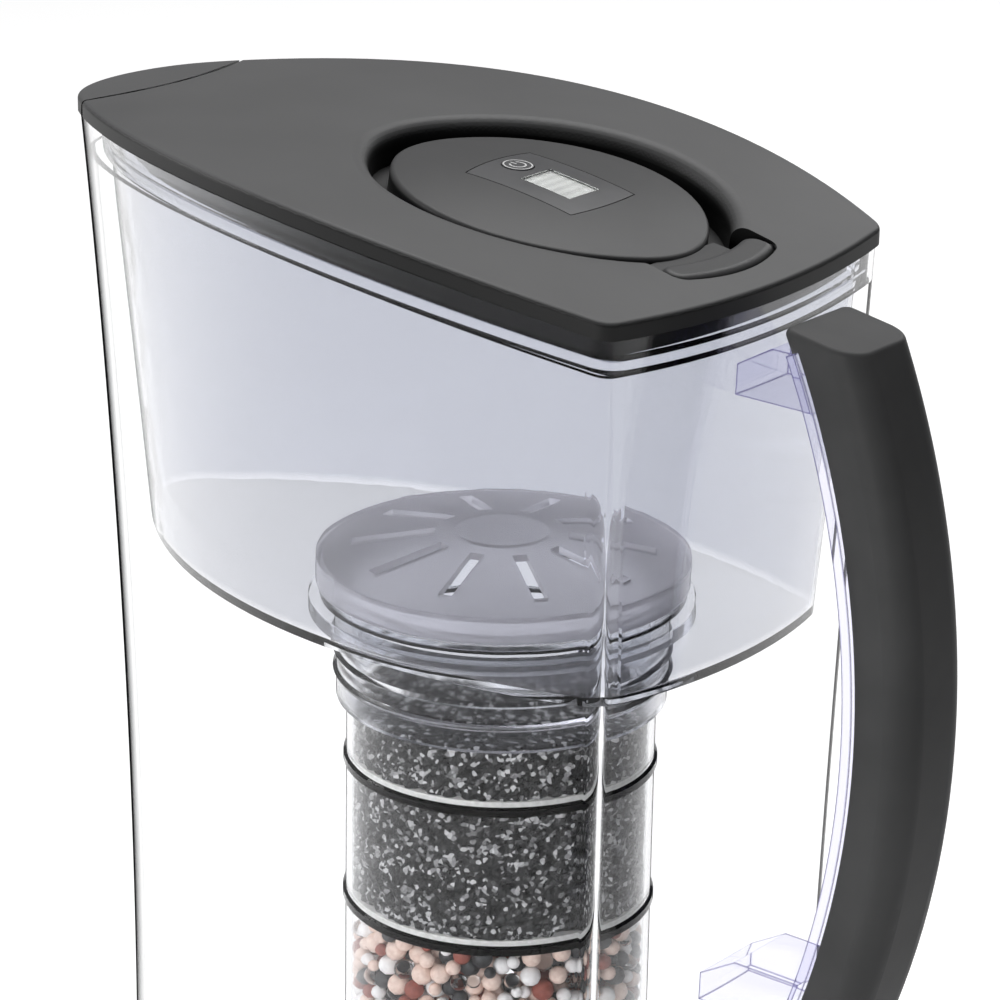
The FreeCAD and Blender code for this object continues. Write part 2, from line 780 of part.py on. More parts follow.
def make_filter_cap():
    shoulder = FLANGE_TOP + S.cap_skirt
    crown = shoulder + S.cap_rise
    inner = S.cap_radius - S.cap_wall
    cap = turned("filter_cap", [
        (S.cap_radius, FLANGE_TOP), (S.cap_radius, shoulder), (S.cap_boss_radius, crown),
        (ZERO, crown), (ZERO, crown - S.cap_wall), (S.cap_boss_radius, crown - S.cap_wall),
        (inner, shoulder - S.cap_wall), (inner, FLANGE_TOP)])
    sketch = new_sketch(cap, "cap_slot_outline", "XY_Plane", crown)
    half = S.cap_slot_width / 2
    polygon(sketch, [(S.cap_slot_start, -half), (S.cap_slot_end, -half),
                     (S.cap_slot_end, half), (S.cap_slot_start, half)])
    slot = cap.newObject("PartDesign::Pocket", "cap_slot")
    slot.Profile = sketch
    bind(slot, "Length", S.cap_rise + S.cap_wall)
    return polar(cap, slot, S.cap_slots)


def polar(body, feature, count):
    """Repeats the body's last feature evenly round the filter's axis."""
    doc.recompute()
    pattern = body.newObject("PartDesign::PolarPattern", feature.Name + "_ring")
    pattern.Originals = [feature]
    pattern.Axis = (feature.Profile[0], ["N_Axis"])
    pattern.Angle = 360
    bind(pattern, "Occurrences", count)
    body.Tip = pattern
    return body


def make_filter_head():
    """Flanged head that hangs in the hopper's socket, with two grip beads and a seal groove."""
    bore = S.head_radius - S.head_wall
    lip = S.cup_radius + S.media_gap
    profile = [(S.flange_radius, FLANGE_TOP), (S.flange_radius, SEAT), (S.head_radius, SEAT)]
    for i in range(2):
        level = SEAT - S.head_bead_drop - i * S.head_bead_pitch
        profile += [(S.head_radius, level + S.head_bead), (S.head_radius + S.head_bead, level),
                    (S.head_radius, level - S.head_bead)]
    profile += [(S.head_radius, HEAD_FOOT), (lip, HEAD_FOOT), (lip, HEAD_FOOT + S.cup_spigot),
                (CUP_BORE, HEAD_FOOT + S.cup_spigot),
                (CUP_BORE, FLANGE_TOP - S.flange_thickness), (bore, FLANGE_TOP)]
    head = turned("filter_head_blank", profile)
    groove = seal_ring("seal_groove", S.groove_gap)
    return cut("filter_head", head, groove)


def seal_ring(name, margin):
    """The ring round the head, or, with a margin, the groove that it lies in."""
    ring = doc.addObject("Part::Torus", name)
    bind(ring, "Radius1", S.head_radius + S.socket_gap - S.seal_gap - S.seal_radius)
    bind(ring, "Radius2", S.seal_radius + margin)
    return at(ring, ZERO, ZERO, SEAT - S.seal_drop)


def make_cup(name, foot, top, spigot):
    """A clear cup with a bead round its foot. Its mouth fits in the piece above."""
    bore = CUP_BORE
    rim = top + spigot - S.media_gap
    cup = turned(name + "_blank", [
        (ZERO, foot), (S.cup_radius + S.cup_bead, foot), (S.cup_radius + S.cup_bead, foot + S.cup_floor),
        (S.cup_radius, foot + S.cup_floor + S.cup_bead), (S.cup_radius, rim), (bore, rim),
        (bore, foot + S.cup_floor), (ZERO, foot + S.cup_floor)])
    sketch = new_sketch(cup, name + "_hole_outline", "XY_Plane", foot + S.cup_floor)
    hole = sketch.addGeometry(Part.Circle(Vector(S.outlet_ring_radius.value, 0, 0), Vector(0, 0, 1),
                                          S.outlet_hole_radius.value), False)
    dimension(sketch, "Radius", (hole,), S.outlet_hole_radius)
    pin_down(sketch, hole, 3, S.outlet_ring_radius, ZERO)
    pocket = cup.newObject("PartDesign::Pocket", name + "_hole")
    pocket.Profile = sketch
    bind(pocket, "Length", S.cup_floor)
    return polar(cup, pocket, S.outlet_holes)


def disc(name, foot, top):
    radius = CUP_BORE - S.media_gap
    return upright(name, radius, ZERO, ZERO, foot, top)


def make_filter():
    nodes = {
        "filter_cap": make_filter_cap(),
        "filter_head": make_filter_head(),
        "head_seal": seal_ring("head_seal", ZERO),
        "upper_cup": make_cup("upper_cup", UPPER_FOOT, HEAD_FOOT, S.cup_spigot),
        "middle_cup": make_cup("middle_cup", MIDDLE_FOOT, UPPER_FOOT, ZERO),
        "lower_cup": make_cup("lower_cup", LOWER_FOOT, MIDDLE_FOOT, ZERO),
    }
    beds = (("upper_carbon", "upper_pad", UPPER_FOOT, HEAD_FOOT),
            ("lower_carbon", "middle_pad", MIDDLE_FOOT, UPPER_FOOT),
            ("mineral_bed", "lower_pad", LOWER_FOOT, MIDDLE_FOOT))
    for bed, pad, foot, top in beds:
        floor = foot + S.cup_floor
        ceiling = top - S.media_gap
        nodes[pad] = disc(pad, floor, floor + S.pad_thickness)
        nodes[bed] = disc(bed, floor + S.pad_thickness, ceiling)
    return nodes


# Lid

WELL = Oval(S.well_half_length, S.well_half_width, S.well_end_radius)
HATCH = WELL.inset(S.hatch_trough)
HINGE = hatch_point(S.hinge_reach, -S.hinge_drop)
SEAM_REACH = S.rim_tip_reach - S.flap_length
FLAP_AXIS_X = -SEAM_REACH + S.flap_axis_back
FLAP_RISE = S.arch_radius - S.flap_axis_drop
FLAP_SPAN = FLAP_AXIS_X + S.crest_setback
FLAP_AXIS_Z = S.crest_level - S.arch_radius + (FLAP_RISE * FLAP_RISE - FLAP_SPAN * FLAP_SPAN).root()
LID_LOW = S.crest_level - RIM_SIDE
LID_HIGH = S.crest_level + S.lid_band


def lid_ring(name, outer, inner, top_drop, bottom_drop):
    """A ring under the arched lid, between two plan outlines and two depths."""
    ring = cut(name + "_ring", prism(name + "_outside", outer, LID_LOW, LID_HIGH),
               prism(name + "_inside", inner, LID_LOW, LID_HIGH))
    return common(name, ring, slab(name + "_layer", top_drop, bottom_drop))


def on_arch(edge):
    """True for an edge in the lid's arched top face."""
    low = S.crest_level.value - S.arch_radius.value
    return all(abs(math.hypot(spot.x + S.crest_setback.value, spot.z - low) - S.arch_radius.value) < 1e-3
               for spot in spots(edge))


def at_well(edge):
    """True for an edge round the mouth of the well."""
    return on_arch(edge) and all(abs(spot.y) < S.well_half_width.value + S.lid_edge.value
                                 and abs(spot.x - S.well_centre.value) < S.well_half_length.value
                                 for spot in spots(edge))


def lid_skin(name):
    """The arched top and the band under its edge."""
    block = common(name + "_block", prism(name + "_plan", RIM, LID_LOW, LID_HIGH),
                   slab(name + "_layer", ZERO, S.lid_band))
    smooth = rounded(name + "_smooth", block, S.lid_edge, on_arch)
    hollow_plan = prism(name + "_hollow_plan", RIM.inset(S.band_wall), LID_LOW, LID_HIGH)
    hollow = common(name + "_hollow", hollow_plan, slab(name + "_hollow_layer", S.lid_plate, 2 * S.lid_band))
    return cut(name + "_skin", smooth, hollow)


def spout_side(name, gap):
    """The space in front of the bowed seam between the lid's cover and the pour flap."""
    return upright(name, S.seam_bow + gap, -SEAM_REACH - S.seam_bow, ZERO, LID_LOW, LID_HIGH + S.lid_band)


def hinge_plan(name, gap, length, low, high):
    """The bowed end of the hatch's hinge in plan, reaching forward into the well."""
    back = S.hinge_reach + S.knuckle_back
    half = length / 2
    bar = hatch_box(name + "_bar", (S.well_half_length / 2, back + gap), (-half, half), (low, high))
    bow = hatch_cylinder(name + "_bow", S.knuckle_bow + gap, back - S.knuckle_bow, ZERO, low, high)
    return common(name, bar, bow)


def square_to_hatch(edge):
    """True for a straight edge that runs up the hatch frame."""
    if not isinstance(edge.Curve, Part.Line):
        return False
    way = edge.Curve.Direction
    return abs(way.x * TILT_SIN.value + way.z * TILT_COS.value) > 1 - 1e-6


def make_lid_cover():
    plug_outline = HOPPER_TOP.inset(S.hopper_wall + S.plug_gap)
    plug = lid_ring("plug", plug_outline, plug_outline.inset(S.plug_wall), S.lid_plate / 2, S.plug_drop)
    floor_drop = S.well_depth + S.well_floor
    well_wall = hatch_prism("well_blank", WELL.inset(-S.well_wall), -floor_drop, ZERO)
    pocket_length = S.knuckle_length + 2 * S.cradle_gap
    cheeks = hinge_plan("hinge_cheeks", S.cradle_gap + S.cradle_wall, pocket_length + 2 * S.cheek,
                        -floor_drop, ZERO)
    walls = common("well_walls", fuse("well_and_cheeks", well_wall, cheeks),
                   slab("under_skin", S.lid_plate / 2, 2 * floor_drop))
    blank = fuse("cover_blank", lid_skin("cover"), plug, walls)
    bored = cut("cover_bored", blank, hatch_prism("well_bore", WELL, -S.well_depth, S.lid_band))
    lipped = rounded("cover_lipped", bored, S.lip_radius, at_well)
    fill = hatch_prism("fill_space", HATCH.inset(S.fill_margin), -2 * floor_drop, ZERO)
    pocket = rounded("hinge_pocket", hinge_plan("pocket_plan", S.cradle_gap, pocket_length,
                                                -S.well_depth, S.lid_band),
                     S.knuckle_corner + S.cradle_gap, square_to_hatch)
    pin_hole = crosswise("hinge_pin_hole", S.hinge_pin_radius + S.pin_gap, *HINGE,
                         -pocket_length, pocket_length)
    opened = cut("cover_opened", lipped, fill, pocket, pin_hole, spout_side("cover_front", S.seam_gap))
    return with_flap_ears(opened)


def with_flap_ears(cover):
    """Two ears under the lid's front edge carry the pour flap's pin."""
    ears = []
    for side in (-1, 1):
        near = side * (S.flap_lug_place + S.flap_lug_width / 2 + S.seat_gap)
        far = near + side * S.flap_ear_width
        low, high = (near, far) if side > 0 else (far, near)
        name = f"flap_ear_{'left' if side > 0 else 'right'}"
        drum = crosswise(name + "_drum", S.flap_ear_radius, FLAP_AXIS_X, FLAP_AXIS_Z, low, high)
        neck = box(name + "_neck", (FLAP_AXIS_X, FLAP_AXIS_X + S.flap_ear_radius), (low, high),
                   (FLAP_AXIS_Z, FLAP_AXIS_Z + S.flap_axis_drop - S.lid_plate / 2))
        ears += [drum, neck]
    reach = S.flap_lug_place + S.flap_lug_width + S.flap_ear_width
    hole = crosswise("flap_pin_hole", S.flap_pin_radius + S.pin_gap, FLAP_AXIS_X, FLAP_AXIS_Z,
                     -reach, reach)
    return cut("lid_cover", fuse("cover_with_ears", cover, *ears), hole)


def make_swing_room(swing):
    """The room that the cover's front edge needs as the flap swings, a spool about the flap's axis."""
    body = new_body("flap_swing")
    sketch = new_sketch(body, "swing_profile", "XY_Plane", FLAP_AXIS_Z)
    half = S.rim_tip_radius + S.flap_swing_gap
    waist = FLAP_AXIS_X - swing
    centre = waist - S.flap_swing_bow
    reach = centre + (S.flap_swing_bow * S.flap_swing_bow - half * half).root()
    turn = math.asin(half.value / S.flap_swing_bow.value)
    side = arc(sketch, (centre.value, 0), S.flap_swing_bow.value, -turn, turn)
    axis = FLAP_AXIS_X.value
    corners = [Vector(reach.value, half.value, 0), Vector(axis, half.value, 0),
               Vector(axis, -half.value, 0), Vector(reach.value, -half.value, 0)]
    lines = [sketch.addGeometry(Part.LineSegment(*ends), False) for ends in zip(corners, corners[1:])]
    ring = [side, *lines]
    for i, piece in enumerate(ring):
        relate(sketch, "Coincident", piece, 2, ring[(i + 1) % len(ring)], 1)
    pin_down(sketch, side, 3, centre, ZERO)
    dimension(sketch, "Radius", (side,), S.flap_swing_bow)
    pin_down(sketch, lines[0], 2, FLAP_AXIS_X, half)
    pin_down(sketch, lines[1], 2, FLAP_AXIS_X, -half)
    relate(sketch, "Horizontal", lines[0])
    relate(sketch, "Horizontal", lines[2])
    spool = body.newObject("PartDesign::Revolution", "swing_spool")
    spool.Profile = sketch
    spool.ReferenceAxis = (sketch, [f"Edge{lines[1] + 1}"])
    spool.Angle = 360
    return body


def make_pour_flap():
    edge = S.flap_axis_back - S.seam_gap
    swing = (edge * edge + S.flap_axis_drop * S.flap_axis_drop).root() + S.flap_swing_gap
    front = common("flap_front", lid_skin("flap"), spout_side("flap_side", ZERO))
    leaf = cut("flap_leaf", front, make_swing_room(swing))
    lugs = []
    for side in (-1, 1):
        low = side * S.flap_lug_place - S.flap_lug_width / 2
        high = low + S.flap_lug_width
        name = f"flap_lug_{'left' if side > 0 else 'right'}"
        drum = crosswise(name + "_drum", S.flap_lug_radius, FLAP_AXIS_X, FLAP_AXIS_Z, low, high)
        arm_low = FLAP_AXIS_Z - S.flap_lug_radius
        post_back = FLAP_AXIS_X - swing - S.seam_gap
        post_front = post_back - S.flap_post
        arm = box(name + "_arm", (post_front, FLAP_AXIS_X), (low, high),
                  (arm_low, arm_low + S.flap_arm_thickness))
        post = box(name + "_post", (post_front, post_back), (low, high),
                   (arm_low, FLAP_AXIS_Z + S.flap_axis_drop - S.lid_plate))
        lugs += [drum, arm, post]
    reach = S.flap_lug_place + S.flap_lug_width
    bore = crosswise("flap_bore", S.flap_pin_radius + S.running_gap, FLAP_AXIS_X, FLAP_AXIS_Z,
                     -reach, reach)
    return cut("pour_flap", fuse("flap_with_lugs", leaf, *lugs), bore)


def make_lid():
    half_pin = S.knuckle_length / 2 + S.cradle_gap + S.cheek / 2
    half_flap_pin = S.flap_lug_place + S.flap_lug_width / 2 + S.seat_gap + S.flap_ear_width
    return {
        "lid_cover": make_lid_cover(),
        "hatch_hinge_pin": crosswise("hatch_hinge_pin", S.hinge_pin_radius, *HINGE,
                                     -half_pin, half_pin),
        "flap_hinge_pin": crosswise("flap_hinge_pin", S.flap_pin_radius, FLAP_AXIS_X, FLAP_AXIS_Z,
                                    -half_flap_pin, half_flap_pin),
        "pour_flap": make_pour_flap(),
    }


# Fill hatch with its timer

HATCH_FOOT = -(S.well_depth - S.hatch_gap)
BEZEL_FLOOR = -(S.dome_drop + S.bezel_thickness)
BUTTON_FOOT = BEZEL_FLOOR - S.button_flange_thickness - S.button_gap
BOARD_TOP = BUTTON_FOOT - S.button_travel - S.button_gap
HOUSING_FLOOR = BOARD_TOP - S.board_thickness
COVER_TOP = HOUSING_FLOOR - S.cell_thickness - S.cell_gap


def dome(name, drop):
    """A ball whose top is a given depth under the lid at the well's centre."""
    ball = doc.addObject("Part::Sphere", name)
    bind(ball, "Radius", S.dome_radius - drop)
    return in_hatch_frame(ball, ZERO, ZERO, -(S.dome_drop + S.dome_radius))


def bezel_limits(margin):
    """Limits of the timer's rectangle along and across the hatch, drawn in by a margin."""
    half_length = S.bezel_length / 2 - margin
    half_width = S.bezel_width / 2 - margin
    return ((-S.bezel_setback - half_length, half_length - S.bezel_setback), (-half_width, half_width))


def bezel_space(name, margin, low, high):
    """The timer's rectangle with its two bowed ends, between two depths."""
    bow = S.bezel_bow - margin
    offset = S.bezel_bow - S.bezel_length / 2
    ends = [hatch_cylinder(f"{name}_bow_{i}", bow, side * offset - S.bezel_setback, ZERO, low, high)
            for i, side in enumerate((-1, 1), start=1)]
    return common(name, hatch_box(name + "_box", *bezel_limits(margin), (low, high)), *ends)


def window_limits(margin):
    along = -S.bezel_setback + S.window_forward
    half_length = S.window_length / 2 - margin
    half_width = S.window_width / 2 - margin
    return (along - half_length, along + half_length), (-half_width, half_width)


BUTTON_PLACE = (-S.bezel_setback - S.button_back, S.button_side)
CELL_PLACE = -S.bezel_setback


def make_fill_hatch():
    above = S.lid_band
    block = common("hatch_block", hatch_prism("hatch_plan", HATCH, HATCH_FOOT, above),
                   dome("hatch_dome", ZERO))
    outside = rounded("hatch_outside", block, S.hatch_edge, on_dome)
    inside = common("hatch_inside", hatch_prism("hatch_bore", HATCH.inset(S.hatch_wall),
                                                HATCH_FOOT, above),
                    dome("hatch_lining", S.hatch_wall))
    housing = common("timer_housing", hatch_box("housing_block", *bezel_limits(-S.housing_wall),
                                                (-S.housing_depth, above)),
                     dome("housing_dome", ZERO))
    web_top = -S.hinge_drop - S.web_drop
    web = hatch_box("knuckle_web", (S.well_half_length - S.hatch_trough - S.hatch_wall, S.hinge_reach),
                    (-S.knuckle_length / 3, S.knuckle_length / 3), (web_top - S.web_thickness, web_top))
    shell = cut("hatch_shell", outside, inside)
    bezel_seat = bezel_space("bezel_seat", ZERO, BEZEL_FLOOR, above)
    board_seat = hatch_box("board_seat", *bezel_limits(S.board_margin), (HOUSING_FLOOR, above))
    cell_seat = hatch_cylinder("cell_seat", S.cell_radius + S.cell_gap, CELL_PLACE, ZERO,
                               -S.housing_depth, ZERO)
    cover_seat = hatch_cylinder("cover_seat", S.cover_radius + S.cell_gap, CELL_PLACE, ZERO,
                                -2 * S.housing_depth, COVER_TOP)
    bore = crosswise("knuckle_bore", S.hinge_pin_radius + S.running_gap, *HINGE,
                     -S.knuckle_length, S.knuckle_length)
    return cut("fill_hatch", fuse("hatch_blank", shell, housing, make_knuckle(), web),
               bezel_seat, board_seat, cell_seat, cover_seat, bore)


def on_dome(edge):
    """True for an edge in the hatch's domed face."""
    x, z = hatch_point(ZERO, -(S.dome_drop + S.dome_radius))
    centre = Vector(x.value, 0, z.value)
    return all(abs(spot.distanceToPoint(centre) - S.dome_radius.value) < 1e-3 for spot in spots(edge))


def make_knuckle():
    """The hinge end of the hatch: a bowed bar with rounded edges, sunk into the lid behind the well."""
    low = -S.hinge_drop - S.knuckle_thickness / 2
    high = low + S.knuckle_thickness
    room = S.cradle_gap + S.knuckle_bow
    front_centre = S.hinge_reach - S.knuckle_front - S.knuckle_bow
    front = hatch_cylinder("knuckle_front_bow", S.knuckle_bow, front_centre, ZERO, low - room, high + room)
    bar = cut("knuckle", hinge_plan("knuckle_plan", ZERO, S.knuckle_length, low, high), front)
    cornered = rounded("knuckle_corners", bar, S.knuckle_corner, square_to_hatch)
    return rounded("knuckle_rounded", cornered, S.knuckle_rounding,
                   lambda edge: level_with_hatch(edge, low, high))


def level_with_hatch(edge, *heights):
    """True for an edge that lies flat at one of the heights of the hatch frame."""
    ups = [(spot.x - S.well_centre.value) * TILT_SIN.value + (spot.z - FRAME_LEVEL.value) * TILT_COS.value
           for spot in spots(edge)]
    return any(all(abs(up - height.value) < 1e-3 for up in ups) for height in heights)


def make_timer():
    above = S.lid_band
    bezel_blank = common("bezel_blank", bezel_space("bezel_block", S.bezel_gap, BEZEL_FLOOR, above),
                         dome("bezel_dome", ZERO))
    window_hole = hatch_box("window_hole", *window_limits(ZERO), (-S.housing_depth, above))
    button_hole = hatch_cylinder("button_hole", S.button_radius + S.button_gap, *BUTTON_PLACE,
                                 -S.housing_depth, above)
    window_floor = BEZEL_FLOOR + S.bezel_thickness - S.window_thickness - S.button_proud
    window = common("window", hatch_box("window_block", *window_limits(S.window_gap),
                                        (window_floor, above)), dome("window_dome", ZERO))
    panel = hatch_box("lcd_panel", *window_limits(S.window_gap), (BOARD_TOP, window_floor))
    board = hatch_box("timer_board", *bezel_limits(S.board_margin + S.bezel_gap),
                      (HOUSING_FLOOR, BOARD_TOP))
    cell = hatch_cylinder("coin_cell", S.cell_radius, CELL_PLACE, ZERO, COVER_TOP,
                          COVER_TOP + S.cell_thickness)
    cover = hatch_cylinder("cover_disc", S.cover_radius, CELL_PLACE, ZERO,
                           COVER_TOP - S.cover_thickness, COVER_TOP)
    half_slot = S.coin_slot_length / 2
    slot = hatch_box("coin_slot", (CELL_PLACE - half_slot, CELL_PLACE + half_slot),
                     (-S.coin_slot_width / 2, S.coin_slot_width / 2),
                     (COVER_TOP - 2 * S.cover_thickness, COVER_TOP - S.cover_thickness + S.coin_slot_depth))
    stem = common("button_stem", hatch_cylinder("button_post", S.button_radius, *BUTTON_PLACE,
                                                BUTTON_FOOT, above), dome("button_dome", -S.button_proud))
    flange = hatch_cylinder("button_rim", S.button_radius + S.button_flange, *BUTTON_PLACE,
                            BUTTON_FOOT, BUTTON_FOOT + S.button_flange_thickness)
    return {
        "timer_bezel": cut("timer_bezel", bezel_blank, window_hole, button_hole),
        "lcd_window": window,
        "lcd_panel": panel,
        "timer_board": board,
        "coin_cell": cell,
        "battery_cover": cut("battery_cover", cover, slot),
        "reset_button": fuse("reset_button", stem, flange),
    }


# Assembly, checks and export

def build():
    nodes = {"jug_shell": make_jug(), "handle_frame": make_handle_frame(), "handle_grip": make_grip(),
             "hopper": make_hopper()}
    nodes.update(make_filter())
    nodes.update(make_lid())
    nodes["fill_hatch"] = make_fill_hatch()
    nodes.update(make_timer())
    doc.recompute()
    for node, item in nodes.items():
        item.Label = node
    return nodes


def check(nodes):
    failed = [f"{item.Name}: {item.State}" for item in doc.Objects
              if "Invalid" in item.State or "Error" in item.State]
    for node, item in nodes.items():
        if item.Shape.isNull() or not item.Shape.isValid():
            failed.append(f"{node}: bad shape")
    if failed:
        raise RuntimeError("; ".join(failed))


def export(nodes):
    os.makedirs("parts", exist_ok=True)
    for node, item in nodes.items():
        item.Shape.exportStep(f"parts/{node}.step")
        print(node, len(item.Shape.Solids), "solid", round(item.Shape.Volume), "mm3")


part_nodes = build()
check(part_nodes)
export(part_nodes)
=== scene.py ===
# %% [markdown]
# # A water filter pitcher in clear and dark plastic
#
# The imported part gives every moulded piece. This lesson dresses it: clear plastic with painted dark rims,
# a tinted hopper, a frosted cartridge cap, granular carbon with painted glints, a bed of mineral balls, a
# fine-grained dark lid with painted shade, and a soft-touch grip. Blender works in metres, and the sizes
# here are written in millimetres and scaled by MM. The spout points to -X and the handle to +X.

# %% Load the imported part
import itertools
import math

import bpy
import numpy as np
from mathutils import Matrix, Vector


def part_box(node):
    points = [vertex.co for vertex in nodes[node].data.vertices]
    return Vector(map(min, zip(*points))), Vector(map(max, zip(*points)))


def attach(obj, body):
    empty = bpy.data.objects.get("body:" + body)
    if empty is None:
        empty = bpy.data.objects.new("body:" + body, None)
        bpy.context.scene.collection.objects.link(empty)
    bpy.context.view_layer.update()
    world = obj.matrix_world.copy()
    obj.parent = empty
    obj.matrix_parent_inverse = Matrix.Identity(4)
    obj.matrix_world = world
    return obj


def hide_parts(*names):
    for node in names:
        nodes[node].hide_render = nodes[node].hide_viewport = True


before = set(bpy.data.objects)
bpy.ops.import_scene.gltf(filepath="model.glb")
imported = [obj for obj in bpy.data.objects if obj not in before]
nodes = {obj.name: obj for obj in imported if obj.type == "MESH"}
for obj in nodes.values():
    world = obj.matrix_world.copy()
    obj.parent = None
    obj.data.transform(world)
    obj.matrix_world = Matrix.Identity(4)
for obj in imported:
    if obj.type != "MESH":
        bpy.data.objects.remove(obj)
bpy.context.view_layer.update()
MM = 0.001
CREST_BACK, CREST_LEVEL, ARCH = 64.0, 288.0, 568.0  # the lid's arch: its crest's place and its radius
print(len(nodes), "pieces in the frame")


# %% [markdown]
# ## Shader helpers
#
# A material is one Principled shader. It could be built by hand in the node editor, but a few helpers
# keep each finish to a line or two. Plain values go on the shader's sockets. Grain comes in as bump or
# colour from noise in object coordinates, so that its scale is in true millimetres.

# %% Materials and nodes
def new_material(name, color, roughness, **sockets):
    """A Principled material: plain values go straight on the shader's sockets."""
    mat = bpy.data.materials.new(name)
    mat.use_nodes = True
    shader = mat.node_tree.nodes["Principled BSDF"]
    shader.inputs["Base Color"].default_value = (*color, 1.0)
    shader.inputs["Roughness"].default_value = roughness
    for socket, value in sockets.items():
        shader.inputs[socket.replace("_", " ")].default_value = value
    return mat


def add_node(mat, kind, **values):
    """A node of that kind, with its inputs or its own settings given by name."""
    node = mat.node_tree.nodes.new(kind)
    for name, value in values.items():
        label = name.replace("_", " ")
        if label in node.inputs:
            node.inputs[label].default_value = value
        else:
            setattr(node, name, value)
    return node


def link(mat, source, target):
    mat.node_tree.links.new(source, target)


def shader_of(mat):
    return mat.node_tree.nodes["Principled BSDF"]


def grey(level, cool=0.001):
    """A grey with a trace more blue."""
    return level, level, level + cool


# %% Grain and drift
def object_noise(mat, grain_mm, detail=2.0):
    """Noise whose features are about grain_mm across."""
    coords = add_node(mat, "ShaderNodeTexCoord")
    noise = add_node(mat, "ShaderNodeTexNoise", Scale=1 / (grain_mm * MM), Detail=detail)
    link(mat, coords.outputs["Object"], noise.inputs["Vector"])
    return noise


def add_grain(mat, grain_mm, depth_mm, strength=1.0):
    """Fine bump, as an eroded mould leaves it."""
    noise = object_noise(mat, grain_mm)
    bump = add_node(mat, "ShaderNodeBump", Strength=strength, Distance=depth_mm * MM)
    link(mat, noise.outputs["Fac"], bump.inputs["Height"])
    link(mat, bump.outputs["Normal"], shader_of(mat).inputs["Normal"])


def vary_roughness(mat, patch_mm, low, high):
    """Slow patches of smoother and duller surface, as handling leaves them."""
    noise = object_noise(mat, patch_mm, 3.0)
    span = add_node(mat, "ShaderNodeMapRange", To_Min=low, To_Max=high)
    link(mat, noise.outputs["Fac"], span.inputs["Value"])
    link(mat, span.outputs["Result"], shader_of(mat).inputs["Roughness"])


def ramp_color(mat, share, *stops):
    """Base colour that follows a share through stops of (position, colour)."""
    ramp = add_node(mat, "ShaderNodeValToRGB")
    elements = ramp.color_ramp.elements
    for element, (position, color) in ((elements[0], stops[0]), (elements[1], stops[-1])):
        element.position, element.color = position, (*color, 1)
    for position, color in stops[1:-1]:
        elements.new(position).color = (*color, 1)
    link(mat, share, ramp.inputs["Fac"])
    link(mat, ramp.outputs["Color"], shader_of(mat).inputs["Base Color"])


def vary_color(mat, patch_mm, dark, light):
    """Colour that drifts between two near shades."""
    noise = object_noise(mat, patch_mm, 3.0)
    ramp_color(mat, noise.outputs["Fac"], (0.3, dark), (0.7, light))


# %% [markdown]
# ## Painted shade in corners and on upright faces
#
# Little light finds its way into the slot round the hatch, and the lid's upright edge mirrors the dark
# room in front of it. Lamps alone leave both too pale under such soft light. So shade is painted into the
# lid's colour: it falls off by ambient occlusion, which measures how close other surfaces stand, as painted
# shade, and by how upright a face is, as a painted dark reflection. The hatch and the bezel get the same
# painted shade in their crevices.

# %% Painted shade in crevices and on upright faces
def paint_crevice_shade(mat, reach_mm):
    """Painted shade: less colour where other surfaces stand close by."""
    target = shader_of(mat).inputs["Base Color"]
    shade = add_node(mat, "ShaderNodeAmbientOcclusion", Distance=reach_mm * MM, samples=6)
    link(mat, target.links[0].from_socket, shade.inputs["Color"])
    link(mat, shade.outputs["Color"], target)


def paint_side_shade(mat, share):
    """Painted shade: upright faces keep only a share of the colour that level faces show, a painted dark
    reflection.
    """
    target = shader_of(mat).inputs["Base Color"]
    face = add_node(mat, "ShaderNodeNewGeometry")
    parts = add_node(mat, "ShaderNodeSeparateXYZ")
    span = add_node(mat, "ShaderNodeMapRange", From_Min=0.2, From_Max=0.85, To_Min=share)
    dimmed = add_node(mat, "ShaderNodeVectorMath", operation="SCALE")
    link(mat, face.outputs["True Normal"], parts.inputs[0])
    link(mat, parts.outputs["Z"], span.inputs["Value"])
    link(mat, target.links[0].from_socket, dimmed.inputs[0])
    link(mat, span.outputs["Result"], dimmed.inputs["Scale"])
    link(mat, dimmed.outputs[0], target)


# %% [markdown]
# ## Clear plastic
#
# Against a white room, clear plastic shows mostly by the thin dark lines where it is seen edge on. A
# glass shader alone needs dark cards round the object to get them. Here Layer Weight finds the slanting
# faces, and a dark colour is painted in there: painted dark rims, a painted reflection of dark cards that
# are not there. A lamp's light would stop at a glass wall, so on shadow rays each face turns plainly
# transparent, and the cartridge inside is lit.

# %% Clear plastic
# the span of facing over which the painted dark rim fades in
PAINTED_RIM_SPAN = 0.07
CLEAR_TINT = (0.12, 0.12, 0.12, 1)  # keeps the white floor's mirror image in the walls faint


def mix_shaders(mat, share, first, second):
    mixed = add_node(mat, "ShaderNodeMixShader")
    link(mat, share, mixed.inputs["Fac"])
    link(mat, first.outputs[0], mixed.inputs[1])
    link(mat, second.outputs[0], mixed.inputs[2])
    return mixed


def painted_corner_share(mat, width_mm):
    """A share that rises from nought on flat faces to one at the corners between them, where the rim colour
    is painted.
    """
    soft = add_node(mat, "ShaderNodeBevel", Radius=width_mm * MM, samples=6)
    face = add_node(mat, "ShaderNodeNewGeometry")
    turn = add_node(mat, "ShaderNodeVectorMath", operation="DOT_PRODUCT")
    span = add_node(mat, "ShaderNodeMapRange", From_Min=0.99, From_Max=0.85)
    link(mat, soft.outputs["Normal"], turn.inputs[0])
    link(mat, face.outputs["True Normal"], turn.inputs[1])
    link(mat, turn.outputs["Value"], span.inputs["Value"])
    return span.outputs["Result"]


